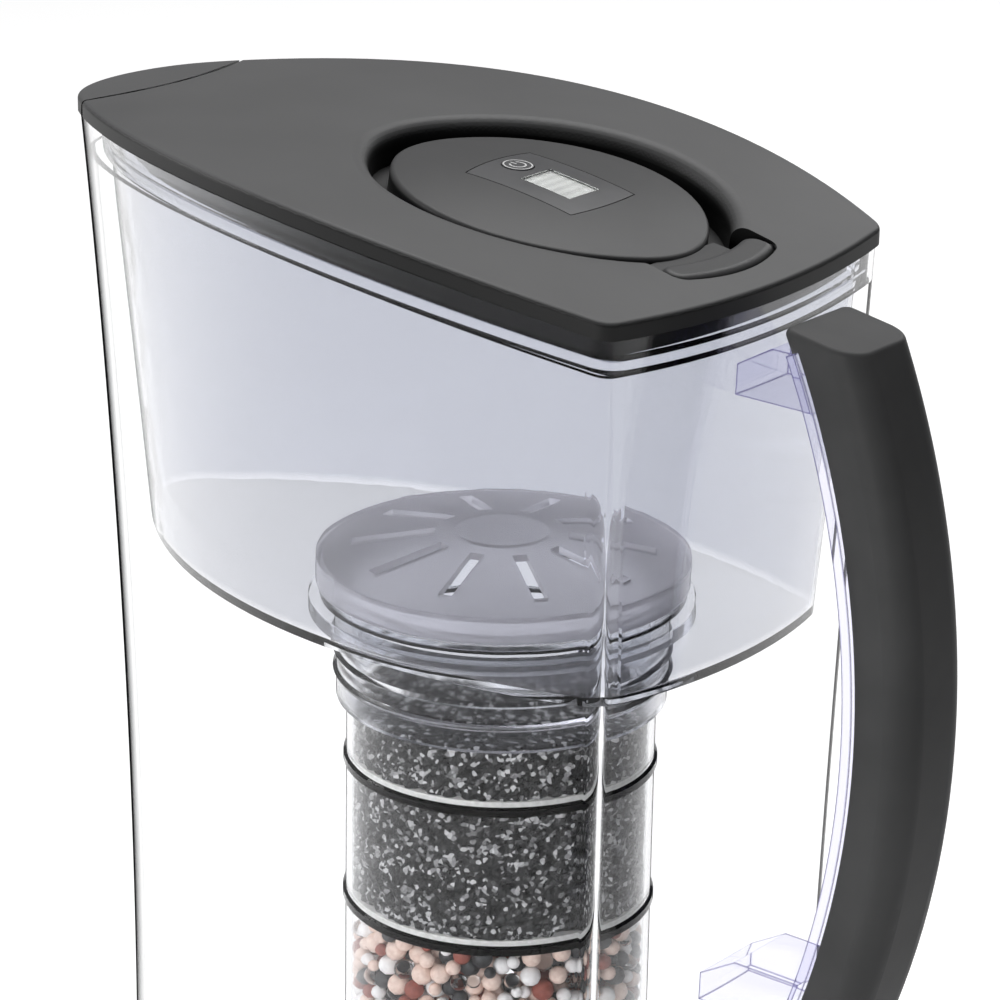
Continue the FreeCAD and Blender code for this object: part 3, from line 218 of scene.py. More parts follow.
def clear_plastic(name, color, rim, roughness, painted_rim_start=0.88, lets=0.97, ior=1.49, clear=1.0,
                  corner_mm=None):
    """Clear plastic with painted dark rims, each face of which lets a share of the lamps' light through."""
    mat = new_material(name, color, roughness, IOR=ior, Transmission_Weight=clear, Specular_Tint=CLEAR_TINT)
    # painted reflection: the rim colour is a dark diffuse colour mixed in where a face is seen edge on
    edge = add_node(mat, "ShaderNodeBsdfDiffuse", Color=(*rim, 1))
    slant = add_node(mat, "ShaderNodeLayerWeight", Blend=0.5)
    span = add_node(mat, "ShaderNodeMapRange", From_Min=painted_rim_start, From_Max=painted_rim_start + PAINTED_RIM_SPAN)
    link(mat, slant.outputs["Facing"], span.inputs["Value"])
    painted_rim_mix = mix_shaders(mat, span.outputs["Result"], shader_of(mat), edge)
    if corner_mm:
        painted_rim_mix = mix_shaders(mat, painted_corner_share(mat, corner_mm), painted_rim_mix, edge)
    path = add_node(mat, "ShaderNodeLightPath")
    passing = add_node(mat, "ShaderNodeBsdfTransparent", Color=(lets, lets, lets, 1))
    either = mix_shaders(mat, path.outputs["Is Shadow Ray"], painted_rim_mix, passing)
    link(mat, either.outputs[0], mat.node_tree.nodes["Material Output"].inputs["Surface"])
    return mat


# %% [markdown]
# ## Pieces
#
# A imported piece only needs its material. A computed piece is an array of points and an array of faces.
# Most of the shapes below are rings of points stacked on one another, so one function numbers the faces
# between them.

# %% Dressing and making pieces
def dress(mat, *names):
    """Gives CAD nodes their material."""
    for name in names:
        nodes[name].data.materials.clear()
        nodes[name].data.materials.append(mat)


def grid_faces(rows, columns, first=0):
    """Faces of four corners between neighbouring rings of points, each ring closed on itself."""
    row, column = np.divmod(np.arange(rows * columns), columns)
    after = (column + 1) % columns
    corners = (row * columns + column, row * columns + after,
               (row + 1) * columns + after, (row + 1) * columns + column)
    return (first + np.column_stack(corners)).tolist()


def mesh_object(name, points, faces, mat, body, smooth=True):
    """A new piece from points and faces, on its body."""
    mesh = bpy.data.meshes.new(name)
    mesh.from_pydata(points.tolist(), [], faces)
    mesh.materials.append(mat)
    if smooth:
        mesh.shade_smooth()
    piece = bpy.data.objects.new(name, mesh)
    bpy.context.scene.collection.objects.link(piece)
    print(name, "has", len(mesh.polygons), "faces")
    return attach(piece, body)


# %% [markdown]
# ## The clear pieces
#
# The jug is almost colourless. The hopper's walls are a little blue, and its floor is painted paler,
# painted light for how it looks from above at a slant. The handle's frame is faintly violet, and a deeper
# violet is painted on its slanting faces and corners, painted light for what its thick edges show. The
# cartridge's head is milky and its cap frosted, so part of the cap's light is scattered as on white plastic.

# %% Jug, cups, head, cap and window
# each rim colour below is painted: painted dark rims on the slanting faces
jug_clear = clear_plastic("jug_clear", (0.99, 0.99, 0.995), grey(0.008), 0.0, painted_rim_start=0.84)
vary_roughness(jug_clear, 30, 0.0, 0.012)
cup_clear = clear_plastic("cup_clear", (0.96, 0.965, 0.975), grey(0.02, 0.002), 0.0)
vary_roughness(cup_clear, 15, 0.0, 0.03)
head_milky = clear_plastic("head_milky", (0.8, 0.81, 0.84), grey(0.05, 0.005), 0.1)
add_grain(head_milky, 1.5, 0.03, 0.2)
cap_frosted = clear_plastic("cap_frosted", (0.96, 0.95, 0.99), grey(0.3, 0.04), 0.2, clear=0.72)
add_grain(cap_frosted, 0.3, 0.03, 0.5)
display_glass = clear_plastic("display_glass", (0.97, 0.975, 0.97), grey(0.2, 0), 0.0)
vary_roughness(display_glass, 6, 0.0, 0.08)

dress(cup_clear, "upper_cup", "middle_cup", "lower_cup")
dress(head_milky, "filter_head")
dress(cap_frosted, "filter_cap")
dress(display_glass, "lcd_window")

# %% Hopper
HOPPER_DEPTH, HOPPER_FLOOR = 117.0, 2.2
# the second colour is painted light, painted on the hopper's floor to make it paler
HOPPER_BLUE, FLOOR_PAINTED_PALE = (0.69, 0.702, 0.745), (0.93, 0.935, 0.95)
hopper_tint = clear_plastic("hopper_tint", HOPPER_BLUE, (0.05, 0.06, 0.06), 0.0)
vary_roughness(hopper_tint, 25, 0.0, 0.015)


def paint_pale_floor(mat, level_mm, rise_mm, low, high):
    """Colour that goes from low to high over a short rise above a level; here it paints the hopper's floor
    paler, as painted light.
    """
    coords = add_node(mat, "ShaderNodeTexCoord")
    parts = add_node(mat, "ShaderNodeSeparateXYZ")
    span = add_node(mat, "ShaderNodeMapRange", From_Min=level_mm * MM,
                    From_Max=(level_mm + rise_mm) * MM)
    link(mat, coords.outputs["Object"], parts.inputs[0])
    link(mat, parts.outputs["Z"], span.inputs["Value"])
    ramp_color(mat, span.outputs["Result"], (0, low), (1, high))


# painted light: the hopper's floor is painted paler than its walls
paint_pale_floor(hopper_tint, CREST_LEVEL - HOPPER_DEPTH + HOPPER_FLOOR, 2, FLOOR_PAINTED_PALE, HOPPER_BLUE)
dress(hopper_tint, "hopper")

# %% Handle frame
# painted light: the violet rim colour is painted on the slanting faces and on the corners
frame_clear = clear_plastic("frame_clear", (0.84, 0.835, 0.94), (0.24, 0.22, 0.5), 0.02, painted_rim_start=0.9,
                            ior=1.02, corner_mm=0.9)
vary_roughness(frame_clear, 12, 0.0, 0.05)
dress(frame_clear, "handle_frame")


# %% [markdown]
# ## The jug's wall, computed
#
# A clear wall shows every flat of its mesh, so the jug is computed finely here from the sizes of its
# plan: six tangent arcs, for the rear wall, its two corners, two flanks and the spout's tip. Three such
# plans, at the foot, the waist and the rim, blend along the height by a parabola through each size.
# Lofting the curves in Blender would do it too, but arcs given as numbers stay exactly tangent.

# %% Plans of the jug
FOOT_LEVEL, WAIST_LEVEL, RIM_LEVEL = 3.0, 178.0, 288.0
# Rows for the foot, the waist and the rim: half width, reach and radius of the tip, reach and radius of the
# rear wall, radius of the rear corners
PLANS = np.array([[62.5, 121.0, 30.0, 72.5, 250.0, 6.2],
                  [67.0, 125.6, 32.0, 76.5, 255.0, 6.2],
                  [70.0, 136.0, 33.0, 80.0, 257.0, 6.2]])
ARC_STEPS = (28, 14, 70, 44, 70, 14)
AROUND = sum(ARC_STEPS)
ARC_OF_COLUMN = np.repeat(np.arange(6), ARC_STEPS)
SHARE_OF_ARC = np.concatenate([np.arange(steps) / steps for steps in ARC_STEPS])


def plan_arcs(half_width, tip_reach, tip_radius, rear_reach, rear_radius, corner_radius):
    """The six arcs of a plan as (centre x, centre y, radius, start angle, end angle).

    A flank touches the tip's arc, so its radius follows from the tip and the half width. A corner's centre
    lies where circles drawn in by its own radius, from the flank and from the rear wall, cross.
    """
    tip_x = tip_reach - tip_radius
    flank = (tip_x**2 / (half_width - tip_radius) + tip_radius + half_width) / 2
    below, behind = flank - half_width, rear_radius - rear_reach
    span = np.hypot(behind, below)
    flank_reach, back_reach = flank - corner_radius, rear_radius - corner_radius
    along = (back_reach**2 - flank_reach**2 + span**2) / (2 * span)
    across = np.sqrt(back_reach**2 - along**2)
    corner_x = -behind + (along * behind + across * below) / span
    corner_y = (across * behind - along * below) / span
    rear_end = np.arctan2(corner_y, corner_x + behind)
    corner_end = np.arctan2(corner_y + below, corner_x)
    flank_end = np.arctan2(below, -tip_x)
    full = 2 * math.pi
    none = np.zeros_like(flank)
    return [(-behind, none, rear_radius, -rear_end, rear_end),
            (corner_x, corner_y, corner_radius, rear_end, corner_end),
            (none, -below, flank, corner_end, flank_end),
            (-tip_x, none, tip_radius, flank_end, full - flank_end),
            (none, below, flank, full - flank_end, full - corner_end),
            (corner_x, -corner_y, corner_radius, full - corner_end, full - rear_end)]


def plan_points(level, inset, foot):
    """One point of the jug's plan for each column, at that column's level, drawn in by a wall."""
    marks = np.array([foot, WAIST_LEVEL, RIM_LEVEL])
    weights = [np.prod([(level - marks[j]) / (marks[i] - marks[j]) for j in range(3) if j != i], axis=0)
               for i in range(3)]
    arcs = np.array(plan_arcs(*(np.tensordot(PLANS.T, weights, 1) - inset)))
    x, y, radius, start, end = arcs[ARC_OF_COLUMN, :, np.arange(AROUND)].T
    angle = start + (end - start) * SHARE_OF_ARC
    return np.column_stack([x + radius * np.cos(angle), y + radius * np.sin(angle)])


print("jug plan of", AROUND, "points a ring")


# %% Rings of the jug
JUG_WALL, MOUTH_WALL, FOOT_INSET, JUG_FLOOR = 3.0, 1.6, 2.2, 4.0
RIM_DROP, STEP_DROP = -4.5, -14.0  # the rim and the step inside it lie this far under the lid's arch
WALL_RINGS, MOUTH_RINGS = 40, 3


def arch_level(x, drop):
    """Level of the lid's arch, less a drop, over a place along the jug."""
    return CREST_LEVEL - ARCH + np.sqrt((ARCH - drop) ** 2 - (x + CREST_BACK) ** 2)


def wall_row(share, inset, foot, low, high):
    """One ring of the wall, at a share of the way from low to high.

    These are levels, or drops under the arch where they are negative. The plan widens with the level and the
    arch's level changes with the plan, so the two are settled in a few rounds.
    """
    level = np.full(AROUND, float(foot))
    for _ in range(5):
        ring = plan_points(level, inset, foot)
        ends = [arch_level(ring[:, 0], -end) if end < 0 else np.full(AROUND, end) for end in (low, high)]
        level = ends[0] + share * (ends[1] - ends[0])
    return np.column_stack([ring, level])


def wall_rings(count, inset, foot, low, high):
    return [wall_row(i / count, inset, foot, low, high) for i in range(count + 1)]


def make_jug():
    """The jug's skin: outside, rim, mouth, step, inside and foot, each a stack of rings, and two floors."""
    outer = wall_rings(WALL_RINGS, 0, FOOT_LEVEL, FOOT_LEVEL, RIM_DROP)
    mouth = wall_rings(MOUTH_RINGS, MOUTH_WALL, JUG_FLOOR, STEP_DROP, RIM_DROP)
    inner = wall_rings(WALL_RINGS, JUG_WALL, JUG_FLOOR, JUG_FLOOR, STEP_DROP)
    foot = np.column_stack([plan_points(np.full(AROUND, FOOT_LEVEL), FOOT_INSET, FOOT_LEVEL),
                            np.zeros(AROUND)])
    patches = [outer, [outer[-1], mouth[-1]], mouth[::-1], [mouth[0], inner[-1]], inner[::-1],
               [foot, outer[0]]]
    points, faces = [], []
    for rings in patches:
        faces += grid_faces(len(rings) - 1, AROUND, len(points) * AROUND)
        points += rings
    for cap, order in ((foot, -1), (inner[0], 1)):
        faces.append((len(points) * AROUND + np.arange(AROUND)[::order]).tolist())
        points.append(cap)
    shell = mesh_object("jug_wall", np.concatenate(points) * MM, faces, jug_clear, "jug")
    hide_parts("jug_shell")


make_jug()


# %% [markdown]
# ## Dark plastics
#
# An eroded mould leaves the lid a grain of a third of a millimetre. It could be real geometry, but at
# this scale bump looks the same and costs nothing. The hatch is a shade darker, and the grip softer and
# finer.

# %% Lid, hatch, grip and bezel
lid_dark = new_material("lid_dark", grey(0.13), 0.5, Specular_IOR_Level=0.25)
vary_color(lid_dark, 40, grey(0.125), grey(0.14))
# painted shade in the lid's crevices, and a painted dark reflection on its upright faces
paint_crevice_shade(lid_dark, 14)
paint_side_shade(lid_dark, 0.12)
add_grain(lid_dark, 0.35, 0.05, 0.4)
hatch_dark = new_material("hatch_dark", grey(0.1), 0.42, Specular_IOR_Level=0.25)
vary_color(hatch_dark, 30, grey(0.095), grey(0.106))
# painted shade in the hatch's crevices
paint_crevice_shade(hatch_dark, 5)
add_grain(hatch_dark, 0.35, 0.05, 0.4)
grip_soft = new_material("grip_soft", grey(0.1), 0.5, Specular_IOR_Level=0.12)
vary_color(grip_soft, 25, grey(0.09), grey(0.112))
add_grain(grip_soft, 0.25, 0.04, 0.35)
bezel_satin = new_material("bezel_satin", grey(0.12, 0.004), 0.35)
vary_color(bezel_satin, 6, grey(0.115, 0.004), grey(0.125, 0.004))
# painted shade in the bezel's crevices
paint_crevice_shade(bezel_satin, 1.5)
add_grain(bezel_satin, 0.2, 0.02, 0.2)
vary_roughness(bezel_satin, 8, 0.3, 0.42)

dress(lid_dark, "lid_cover", "pour_flap")
dress(hatch_dark, "fill_hatch", "battery_cover")
dress(grip_soft, "handle_grip")
dress(bezel_satin, "timer_bezel", "reset_button")

# %% [markdown]
# ## Metal, board, rubber and felt
#
# The pins and the coin cell are steel, worn in patches. The pads that part the cartridge's beds are
# felt, with a sheen and a coarse, uneven nap.

# %% Small parts
pin_steel = new_material("pin_steel", (0.6, 0.6, 0.62), 0.3, Metallic=1.0)
vary_roughness(pin_steel, 2, 0.2, 0.4)
cell_steel = new_material("cell_steel", (0.7, 0.7, 0.7), 0.25, Metallic=1.0)
vary_roughness(cell_steel, 3, 0.18, 0.35)
board_green = new_material("board_green", (0.03, 0.16, 0.07), 0.4)
vary_color(board_green, 4, (0.02, 0.12, 0.05), (0.035, 0.18, 0.08))
seal_rubber = new_material("seal_rubber", (0.5, 0.51, 0.54), 0.6)
add_grain(seal_rubber, 0.4, 0.03, 0.3)
felt = new_material("felt", (0.85, 0.85, 0.83), 0.9, Sheen_Weight=0.3)
vary_color(felt, 1.5, (0.7, 0.7, 0.68), (0.9, 0.9, 0.88))
add_grain(felt, 0.3, 0.25, 0.8)

dress(pin_steel, "hatch_hinge_pin", "flap_hinge_pin")
dress(cell_steel, "coin_cell")
dress(board_green, "timer_board")
dress(seal_rubber, "head_seal")
dress(felt, "upper_pad", "middle_pad", "lower_pad")


# %% [markdown]
# ## Carbon beds
#
# Crushed carbon pressed against a clear wall shows broken grains. They could be strewn as thousands of
# little meshes, but only their outside shows. So the wall is unrolled into a strip, strewn with grain
# centres, and every point of the strip sinks in by the square of its distance from the nearest centre.
# A cell texture then gives each grain its own gloss, and paints a few grains bright, as painted glints.

# %% Grains of carbon
GRAIN = 1.5
BED_AROUND, BED_ROW = 360, 0.65
GRAIN_SINK, GRAIN_LIFT, GRAIN_BULGE = 0.05, 0.7, 0.8


def nearest(points, seeds, block=2000):
    """Index of the nearest seed and the distance to it, for each point, worked out a block at a time."""
    index = np.empty(len(points), int)
    far = np.empty(len(points))
    for start in range(0, len(points), block):
        part = slice(start, start + block)
        gaps = ((points[part, None, :] - seeds[None, :, :]) ** 2).sum(axis=2)
        index[part] = gaps.argmin(axis=1)
        far[part] = np.sqrt(gaps.min(axis=1))
    return index, far


def grain_bed(name, mat, seed):
    """A cylinder of grains in place of a CAD bed, inside its box."""
    low, high = (np.array(corner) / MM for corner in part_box(name))
    radius = (high[0] - low[0]) / 2
    rng = np.random.default_rng(seed)
    rows = max(4, int((high[2] - low[2]) / BED_ROW))
    length = 2 * math.pi * radius
    angle, level = (grid.ravel() for grid in np.meshgrid(
        np.arange(BED_AROUND) * 2 * math.pi / BED_AROUND, np.linspace(low[2], high[2], rows + 1)))
    count = int(length * (high[2] - low[2]) / GRAIN**2)
    seeds = np.column_stack([rng.uniform(0, length, count), rng.uniform(low[2], high[2], count)])
    lift = rng.uniform(0, GRAIN_LIFT, count)
    wrapped = np.concatenate([seeds, seeds + [length, 0], seeds - [length, 0]])
    index, far = nearest(np.column_stack([angle * radius, level]), wrapped)
    reach = radius - (GRAIN_SINK + lift[index % count] + GRAIN_BULGE * (far / GRAIN) ** 2)
    points = np.column_stack([reach * np.cos(angle), reach * np.sin(angle), level])
    faces = grid_faces(rows, BED_AROUND)
    faces.append(list(range(BED_AROUND - 1, -1, -1)))
    faces.append(list(range(rows * BED_AROUND, (rows + 1) * BED_AROUND)))
    bed = mesh_object(name + "_grains", points * MM, faces, mat, "filter", smooth=False)
    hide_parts(name)


def grain_material():
    """Cells of one colour and one gloss each, mostly black, with a few painted bright as painted glints."""
    mat = new_material("carbon_grains", grey(0.03), 0.45)
    coords = add_node(mat, "ShaderNodeTexCoord")
    cells = add_node(mat, "ShaderNodeTexVoronoi", Scale=1 / (1.1 * MM))
    link(mat, coords.outputs["Object"], cells.inputs["Vector"])
    split = add_node(mat, "ShaderNodeSeparateColor")
    link(mat, cells.outputs["Color"], split.inputs["Color"])
    # painted glints: the brightest cells get a pale grey colour, while each cell's gloss below is real
    ramp_color(mat, split.outputs["Red"], (0, grey(0.003, 0)), (0.74, grey(0.016)), (1, grey(0.65, 0.01)))
    shine = add_node(mat, "ShaderNodeMapRange", To_Min=0.7, To_Max=0.2)
    link(mat, split.outputs["Green"], shine.inputs["Value"])
    link(mat, shine.outputs["Result"], shader_of(mat).inputs["Roughness"])
    return mat


carbon_grains = grain_material()
grain_bed("upper_carbon", carbon_grains, 3)
grain_bed("lower_carbon", carbon_grains, 4)


# %% [markdown]
# ## Mineral balls
#
# Balls of 3 to 6 mm are thrown at random into the outer ring of the lowest cup, then pushed apart a
# little at a time until none overlaps its neighbour by much. A rigid-body run would settle them too,
# but it is slower and harder to repeat. Nothing shows of the middle of the bed.

# %% Places of the balls
BALLS, BALL_RADII, CORE_SHARE = 1000, (1.5, 3.0), 0.72
SETTLING_ROUNDS, PUSH = 70, 0.3


def pack_balls(radius, core, low, high, rng):
    """Centres and radii of balls in a ring-shaped space, settled by pushing overlapping pairs apart."""
    size = rng.uniform(*BALL_RADII, BALLS)
    angle = rng.uniform(0, 2 * math.pi, BALLS)
    out = np.sqrt(rng.uniform(core**2, radius**2, BALLS))
    spots = np.column_stack([out * np.cos(angle), out * np.sin(angle), rng.uniform(low, high, BALLS)])
    for _ in range(SETTLING_ROUNDS):
        apart = spots[:, None, :] - spots[None, :, :]
        gap = np.sqrt((apart**2).sum(axis=2)) + 1e-9
        np.fill_diagonal(gap, 1e9)
        overlap = np.clip(size[:, None] + size[None, :] - gap, 0, None)
        spots += PUSH * (apart * (overlap / gap)[:, :, None]).sum(axis=1)
        out = np.hypot(spots[:, 0], spots[:, 1])
        held = np.clip(out, core, radius - size)
        spots[:, :2] *= (held / out)[:, None]
        spots[:, 2] = np.clip(spots[:, 2], low + size, high - size)
    return spots, size


# %% Shape of a ball
def unit_ball():
    """A ball of 60 faces: the 12 corners of an icosahedron and the middles of its 20 faces, on a sphere.

    Each edge of the icosahedron gives two faces: either of its ends with the middles on both sides of it.
    """
    gold = (1 + math.sqrt(5)) / 2
    signs = np.array([(-1, -1), (-1, 1), (1, -1), (1, 1)])
    block = np.column_stack([np.zeros(4), signs * (1, gold)])
    corners = np.concatenate([np.roll(block, turn, axis=1) for turn in range(3)]) / np.hypot(1, gold)
    near = np.linalg.norm(corners[:, None] - corners[None, :], axis=2) < 1.1
    first, second, third = np.array(list(itertools.combinations(range(12), 3))).T
    joined = near[first, second] & near[second, third] & near[first, third]
    middles = (corners[first] + corners[second] + corners[third])[joined]
    middles /= np.linalg.norm(middles, axis=1)[:, None]
    starts, ends = np.nonzero(np.triu(near, 1))
    halfway = (corners[starts] + corners[ends]) / 2
    gaps = np.linalg.norm(halfway[:, None] - middles[None, :], axis=2)
    beside = np.argsort(gaps, axis=1)[:, :2] + len(corners)
    triangles = np.concatenate([np.column_stack([starts, beside]), np.column_stack([ends, beside])])
    points = np.concatenate([corners, middles])
    a, b, c = points[triangles].transpose(1, 0, 2)
    inward = (np.cross(b - a, c - a) * a).sum(axis=1) < 0
    triangles[inward] = triangles[inward][:, [0, 2, 1]]
    return points, triangles


# %% The bed of balls
def clay(name, dark, light):
    """Fired clay: a matt colour that drifts within each ball, and a fine pitted skin."""
    mat = new_material(name, light, 0.6)
    vary_color(mat, 1.2, dark, light)
    add_grain(mat, 0.3, 0.05, 0.4)
    return mat


KIND_SHARES = (0.36, 0.2, 0.16, 0.16, 0.12)
ball_kinds = [clay("beige_ball", (0.75, 0.55, 0.47), (0.92, 0.74, 0.65)),
              clay("white_ball", (0.85, 0.83, 0.83), (0.97, 0.96, 0.96)),
              clay("grey_ball", (0.015, 0.015, 0.018), (0.06, 0.06, 0.065)),
              clay("red_ball", (0.22, 0.05, 0.035), (0.36, 0.1, 0.07)),
              clear_plastic("crystal", (0.95, 0.95, 0.95), grey(0.2, 0), 0.05)]


def make_balls():
    """Every ball is the unit ball, scaled and moved, as one array of points."""
    low, high = (np.array(corner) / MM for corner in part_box("mineral_bed"))
    radius = (high[0] - low[0]) / 2
    rng = np.random.default_rng(11)
    spots, size = pack_balls(radius, CORE_SHARE * radius, low[2], high[2], rng)
    ball, triangles = unit_ball()
    points = (spots[:, None, :] + size[:, None, None] * ball[None, :, :]).reshape(-1, 3)
    faces = (triangles[None, :, :] + (np.arange(BALLS) * len(ball))[:, None, None]).reshape(-1, 3)
    bed = mesh_object("mineral_balls", points * MM, faces.tolist(), ball_kinds[0], "filter")
    for mat in ball_kinds[1:]:
        bed.data.materials.append(mat)
    kind = rng.choice(len(ball_kinds), BALLS, p=KIND_SHARES)
    bed.data.polygons.foreach_set("material_index", np.repeat(kind, len(triangles)))
    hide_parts("mineral_bed")


make_balls()


# %% [markdown]
# ## The timer's button
#
# A power sign, two rings and a stroke, is printed on the reset button. A picture texture would do for
# ink, but thin strips stay sharp at any size. Each is a path with a width, laid on the hatch's tilted
# dome.

# %% Places on the hatch
WELL_CENTRE = 13.0
DOME, DOME_DROP = 200.0, 0.1
HATCH_TILT = math.asin((WELL_CENTRE + CREST_BACK) / ARCH)
print("hatch tilted by", round(math.degrees(HATCH_TILT), 2), "degrees")


def in_hatch(along, across, up):
    """Frame points, one a row, from places along, across and up the tilted hatch, in millimetres."""
    level = CREST_LEVEL - ARCH + ARCH * math.cos(HATCH_TILT)
    return np.column_stack([WELL_CENTRE + along * math.cos(HATCH_TILT) + up * math.sin(HATCH_TILT), across,
                            level - along * math.sin(HATCH_TILT) + up * math.cos(HATCH_TILT)]) * MM


def on_hatch(along, across, lift):
    """Frame points on the hatch's dome, raised by a lift."""
    return in_hatch(along, across, lift - DOME_DROP - (along**2 + across**2) / (2 * DOME))


# %% Printed sign
BUTTON_ALONG, BUTTON_ACROSS, BUTTON_PROUD = -11.6, 1.2, 0.2
INK = 0.03
RING_STEPS = 64
ink_white = new_material("ink_white", (0.8, 0.8, 0.8), 0.5)
vary_color(ink_white, 0.6, (0.72, 0.72, 0.72), (0.85, 0.85, 0.85))


def printed_strip(name, path, width, closed):
    """A flat strip along a path of (along, across) places round the button's middle.

    Each point of the path is moved half the width to either side, square to the way the path runs there.
    """
    path = np.asarray(path, float)
    if closed:
        ways = np.roll(path, -1, axis=0) - np.roll(path, 1, axis=0)
    else:
        ways = np.gradient(path, axis=0)
    sides = np.column_stack([-ways[:, 1], ways[:, 0]]) / np.hypot(*ways.T)[:, None] * width / 2
    rims = np.concatenate([path + sides, path - sides]) + [BUTTON_ALONG, BUTTON_ACROSS]
    count = len(path)
    faces = grid_faces(1, count)[:count if closed else count - 1]
    points = on_hatch(rims[:, 0], rims[:, 1], BUTTON_PROUD + INK)
    strip = mesh_object(name, points, faces, ink_white, "button", smooth=False)


def ring(radius, start, end):
    """Places on an arc round the button's middle, from one angle to another in degrees."""
    turn = np.radians(np.linspace(start, end, RING_STEPS))
    return np.column_stack([radius * np.cos(turn), radius * np.sin(turn)])


printed_strip("sign_rim", ring(3.6, 0, 360 - 360 / RING_STEPS), 0.42, closed=True)
printed_strip("sign_ring", ring(2.0, 215, 505), 0.5, closed=False)
printed_strip("sign_stroke", [(-2.4, 0), (-1.5, 0), (-0.5, 0)], 0.5, closed=False)


# %% [markdown]
# ## The timer's display
#
# A blank display is pale grey-green with faint bars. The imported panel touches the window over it, and
# two faces in one place leave Blender no way to tell which comes first. So the panel is made again a
# little lower.

# %% Display
PANEL_ALONG, PANEL_ACROSS, PANEL_TOP, PANEL_THICKNESS = (-5.0, 10.6), (-5.8, 5.8), -1.6, 0.5
BAR_SPACING = 9.0
display_panel = new_material("display_panel", (0.55, 0.57, 0.55), 0.6)
panel_coords = add_node(display_panel, "ShaderNodeTexCoord")
bars = add_node(display_panel, "ShaderNodeTexWave", Scale=1 / (BAR_SPACING * MM), Distortion=0.4)
link(display_panel, panel_coords.outputs["Object"], bars.inputs["Vector"])
ramp_color(display_panel, bars.outputs["Fac"], (0, (0.52, 0.53, 0.52)), (1, (0.66, 0.67, 0.66)))


def make_panel():
    """A box: two rings of four corners, with a face over either end."""
    along = np.tile(np.array(PANEL_ALONG)[[0, 1, 1, 0]], 2)
    across = np.tile(np.array(PANEL_ACROSS)[[0, 0, 1, 1]], 2)
    up = np.repeat([PANEL_TOP - PANEL_THICKNESS, PANEL_TOP], 4)
    faces = [[3, 2, 1, 0], [4, 5, 6, 7]] + grid_faces(1, 4)
    panel = mesh_object("display_plate", in_hatch(along, across, up), faces, display_panel, "hatch",
                        smooth=False)
    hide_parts("lcd_panel")


make_panel()


# %% [markdown]
# ## The floor
#
# The floor has to be white in the picture without throwing that light on the object. So it is a plain
# grey that keeps the shadow, with a glow that only the camera, mirrors and clear plastic see, by Light
# Path.

# %% Floor
FLOOR_SIDE, FLOOR_DROP = 6.0, 0.0006  # metres
FLOOR_GREY, FLOOR_GLOW = 0.45, 0.8


def floor_material():
    mat = bpy.data.materials.new("floor_white")
    mat.use_nodes = True
    mat.node_tree.nodes.clear()
    path = add_node(mat, "ShaderNodeLightPath")
    seen = path.outputs["Is Camera Ray"]
    for ray in ("Is Glossy Ray", "Is Transmission Ray"):
        either = add_node(mat, "ShaderNodeMath", operation="MAXIMUM")
        link(mat, seen, either.inputs[0])
        link(mat, path.outputs[ray], either.inputs[1])
        seen = either.outputs[0]
    scale = add_node(mat, "ShaderNodeMath", operation="MULTIPLY")
    scale.inputs[1].default_value = FLOOR_GLOW
    glow = add_node(mat, "ShaderNodeEmission")
    plain = add_node(mat, "ShaderNodeBsdfDiffuse", Color=(*grey(FLOOR_GREY, 0), 1))
    total = add_node(mat, "ShaderNodeAddShader")
    out = add_node(mat, "ShaderNodeOutputMaterial")
    link(mat, seen, scale.inputs[0])
    link(mat, scale.outputs[0], glow.inputs["Strength"])
    link(mat, plain.outputs[0], total.inputs[0])
    link(mat, glow.outputs[0], total.inputs[1])
    link(mat, total.outputs[0], out.inputs["Surface"])
    return mat


def make_floor():
    mesh = bpy.data.meshes.new("floor")
    corners = FLOOR_SIDE * np.array([(-1, -1), (1, -1), (1, 1), (-1, 1)])
    mesh.from_pydata(np.column_stack([corners, np.full(4, -FLOOR_DROP)]).tolist(), [], [(0, 1, 2, 3)])
    mesh.materials.append(floor_material())
    floor = bpy.data.objects.new("floor", mesh)
    bpy.context.scene.collection.objects.link(floor)


make_floor()


# %% [markdown]
# ## Light
#
# Soft boxes above, at the left, in front and behind stand in for a studio's. The room itself is dim, so
# that the grip's outer side stays dark. Places and sizes are in metres and powers in watts.

# %% Lamps and room
def soft_box(name, place, aim, size, power):
    """An area lamp that looks from its place to its aim."""
    lamp = bpy.data.lights.new(name, "AREA")
    lamp.shape = "RECTANGLE"
    lamp.size, lamp.size_y = size
    lamp.energy = power
    light = bpy.data.objects.new(name, lamp)
    light.location = place
    light.rotation_mode = "QUATERNION"
    light.rotation_quaternion = (Vector(aim) - Vector(place)).to_track_quat("-Z", "Y")
    bpy.context.scene.collection.objects.link(light)


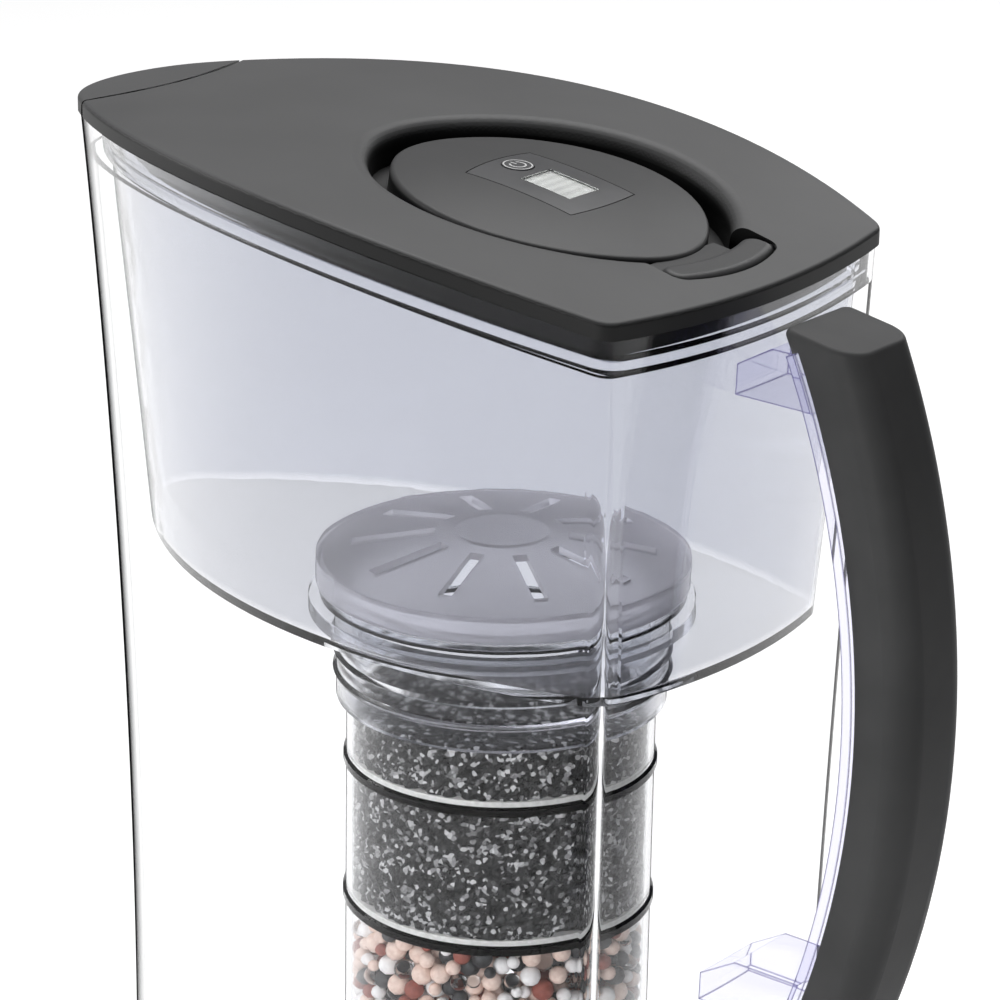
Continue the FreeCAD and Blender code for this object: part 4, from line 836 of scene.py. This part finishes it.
soft_box("top_box", (-0.3, 0.5, 1.5), (0, 0, 0.25), (1.0, 1.0), 15)
soft_box("left_box", (-1.0, -0.5, 0.55), (0, 0, 0.15), (0.5, 0.7), 5)
soft_box("front_box", (0.35, -1.25, 0.3), (0.05, 0, 0.1), (0.6, 0.4), 5)
soft_box("back_box", (-0.3, 1.4, 0.9), (0, 0, 0.2), (0.5, 1.0), 3)

world = bpy.data.worlds.new("room")
world.use_nodes = True
room = world.node_tree.nodes["Background"]
room.inputs["Color"].default_value = (0.9, 0.93, 1.0, 1)
room.inputs["Strength"].default_value = 0.04
bpy.context.scene.world = world
print(len(bpy.data.lights), "lamps")


# %% [markdown]
# ## Camera
#
# The camera stands where the photograph's did, found by fitting the lid, the hopper and the cartridge's
# rings. Its axes are built from the azimuth, the elevation and a small roll. Light crosses many clear
# walls on its way to the far side, so it may bounce more often than usual.

# %% Camera and picture
CAMERA_PLACE = (0.6180, -0.7668, 0.5516)
AZIMUTH, ELEVATION, ROLL = (math.radians(angle) for angle in (38.932, 19.85, 0.966))
BOUNCES = 24


def make_camera():
    camera = bpy.data.cameras.new("camera")
    camera.lens, camera.sensor_width = 148.5, 36.0
    camera.clip_start, camera.clip_end = 0.01, 50
    right = Vector((math.cos(AZIMUTH), math.sin(AZIMUTH), 0))
    back = Vector((math.sin(AZIMUTH) * math.cos(ELEVATION), -math.cos(AZIMUTH) * math.cos(ELEVATION),
                   math.sin(ELEVATION)))
    up = back.cross(right)
    rolled = (right * math.cos(ROLL) + up * math.sin(ROLL), up * math.cos(ROLL) - right * math.sin(ROLL))
    turn = Matrix((*rolled, back)).transposed()
    placed = bpy.data.objects.new("camera", camera)
    placed.matrix_world = Matrix.Translation(CAMERA_PLACE) @ turn.to_4x4()
    bpy.context.scene.collection.objects.link(placed)
    return placed


scene = bpy.context.scene
scene.camera = make_camera()
scene.view_settings.view_transform = "Standard"
scene.cycles.max_bounces = BOUNCES
scene.cycles.transmission_bounces = BOUNCES
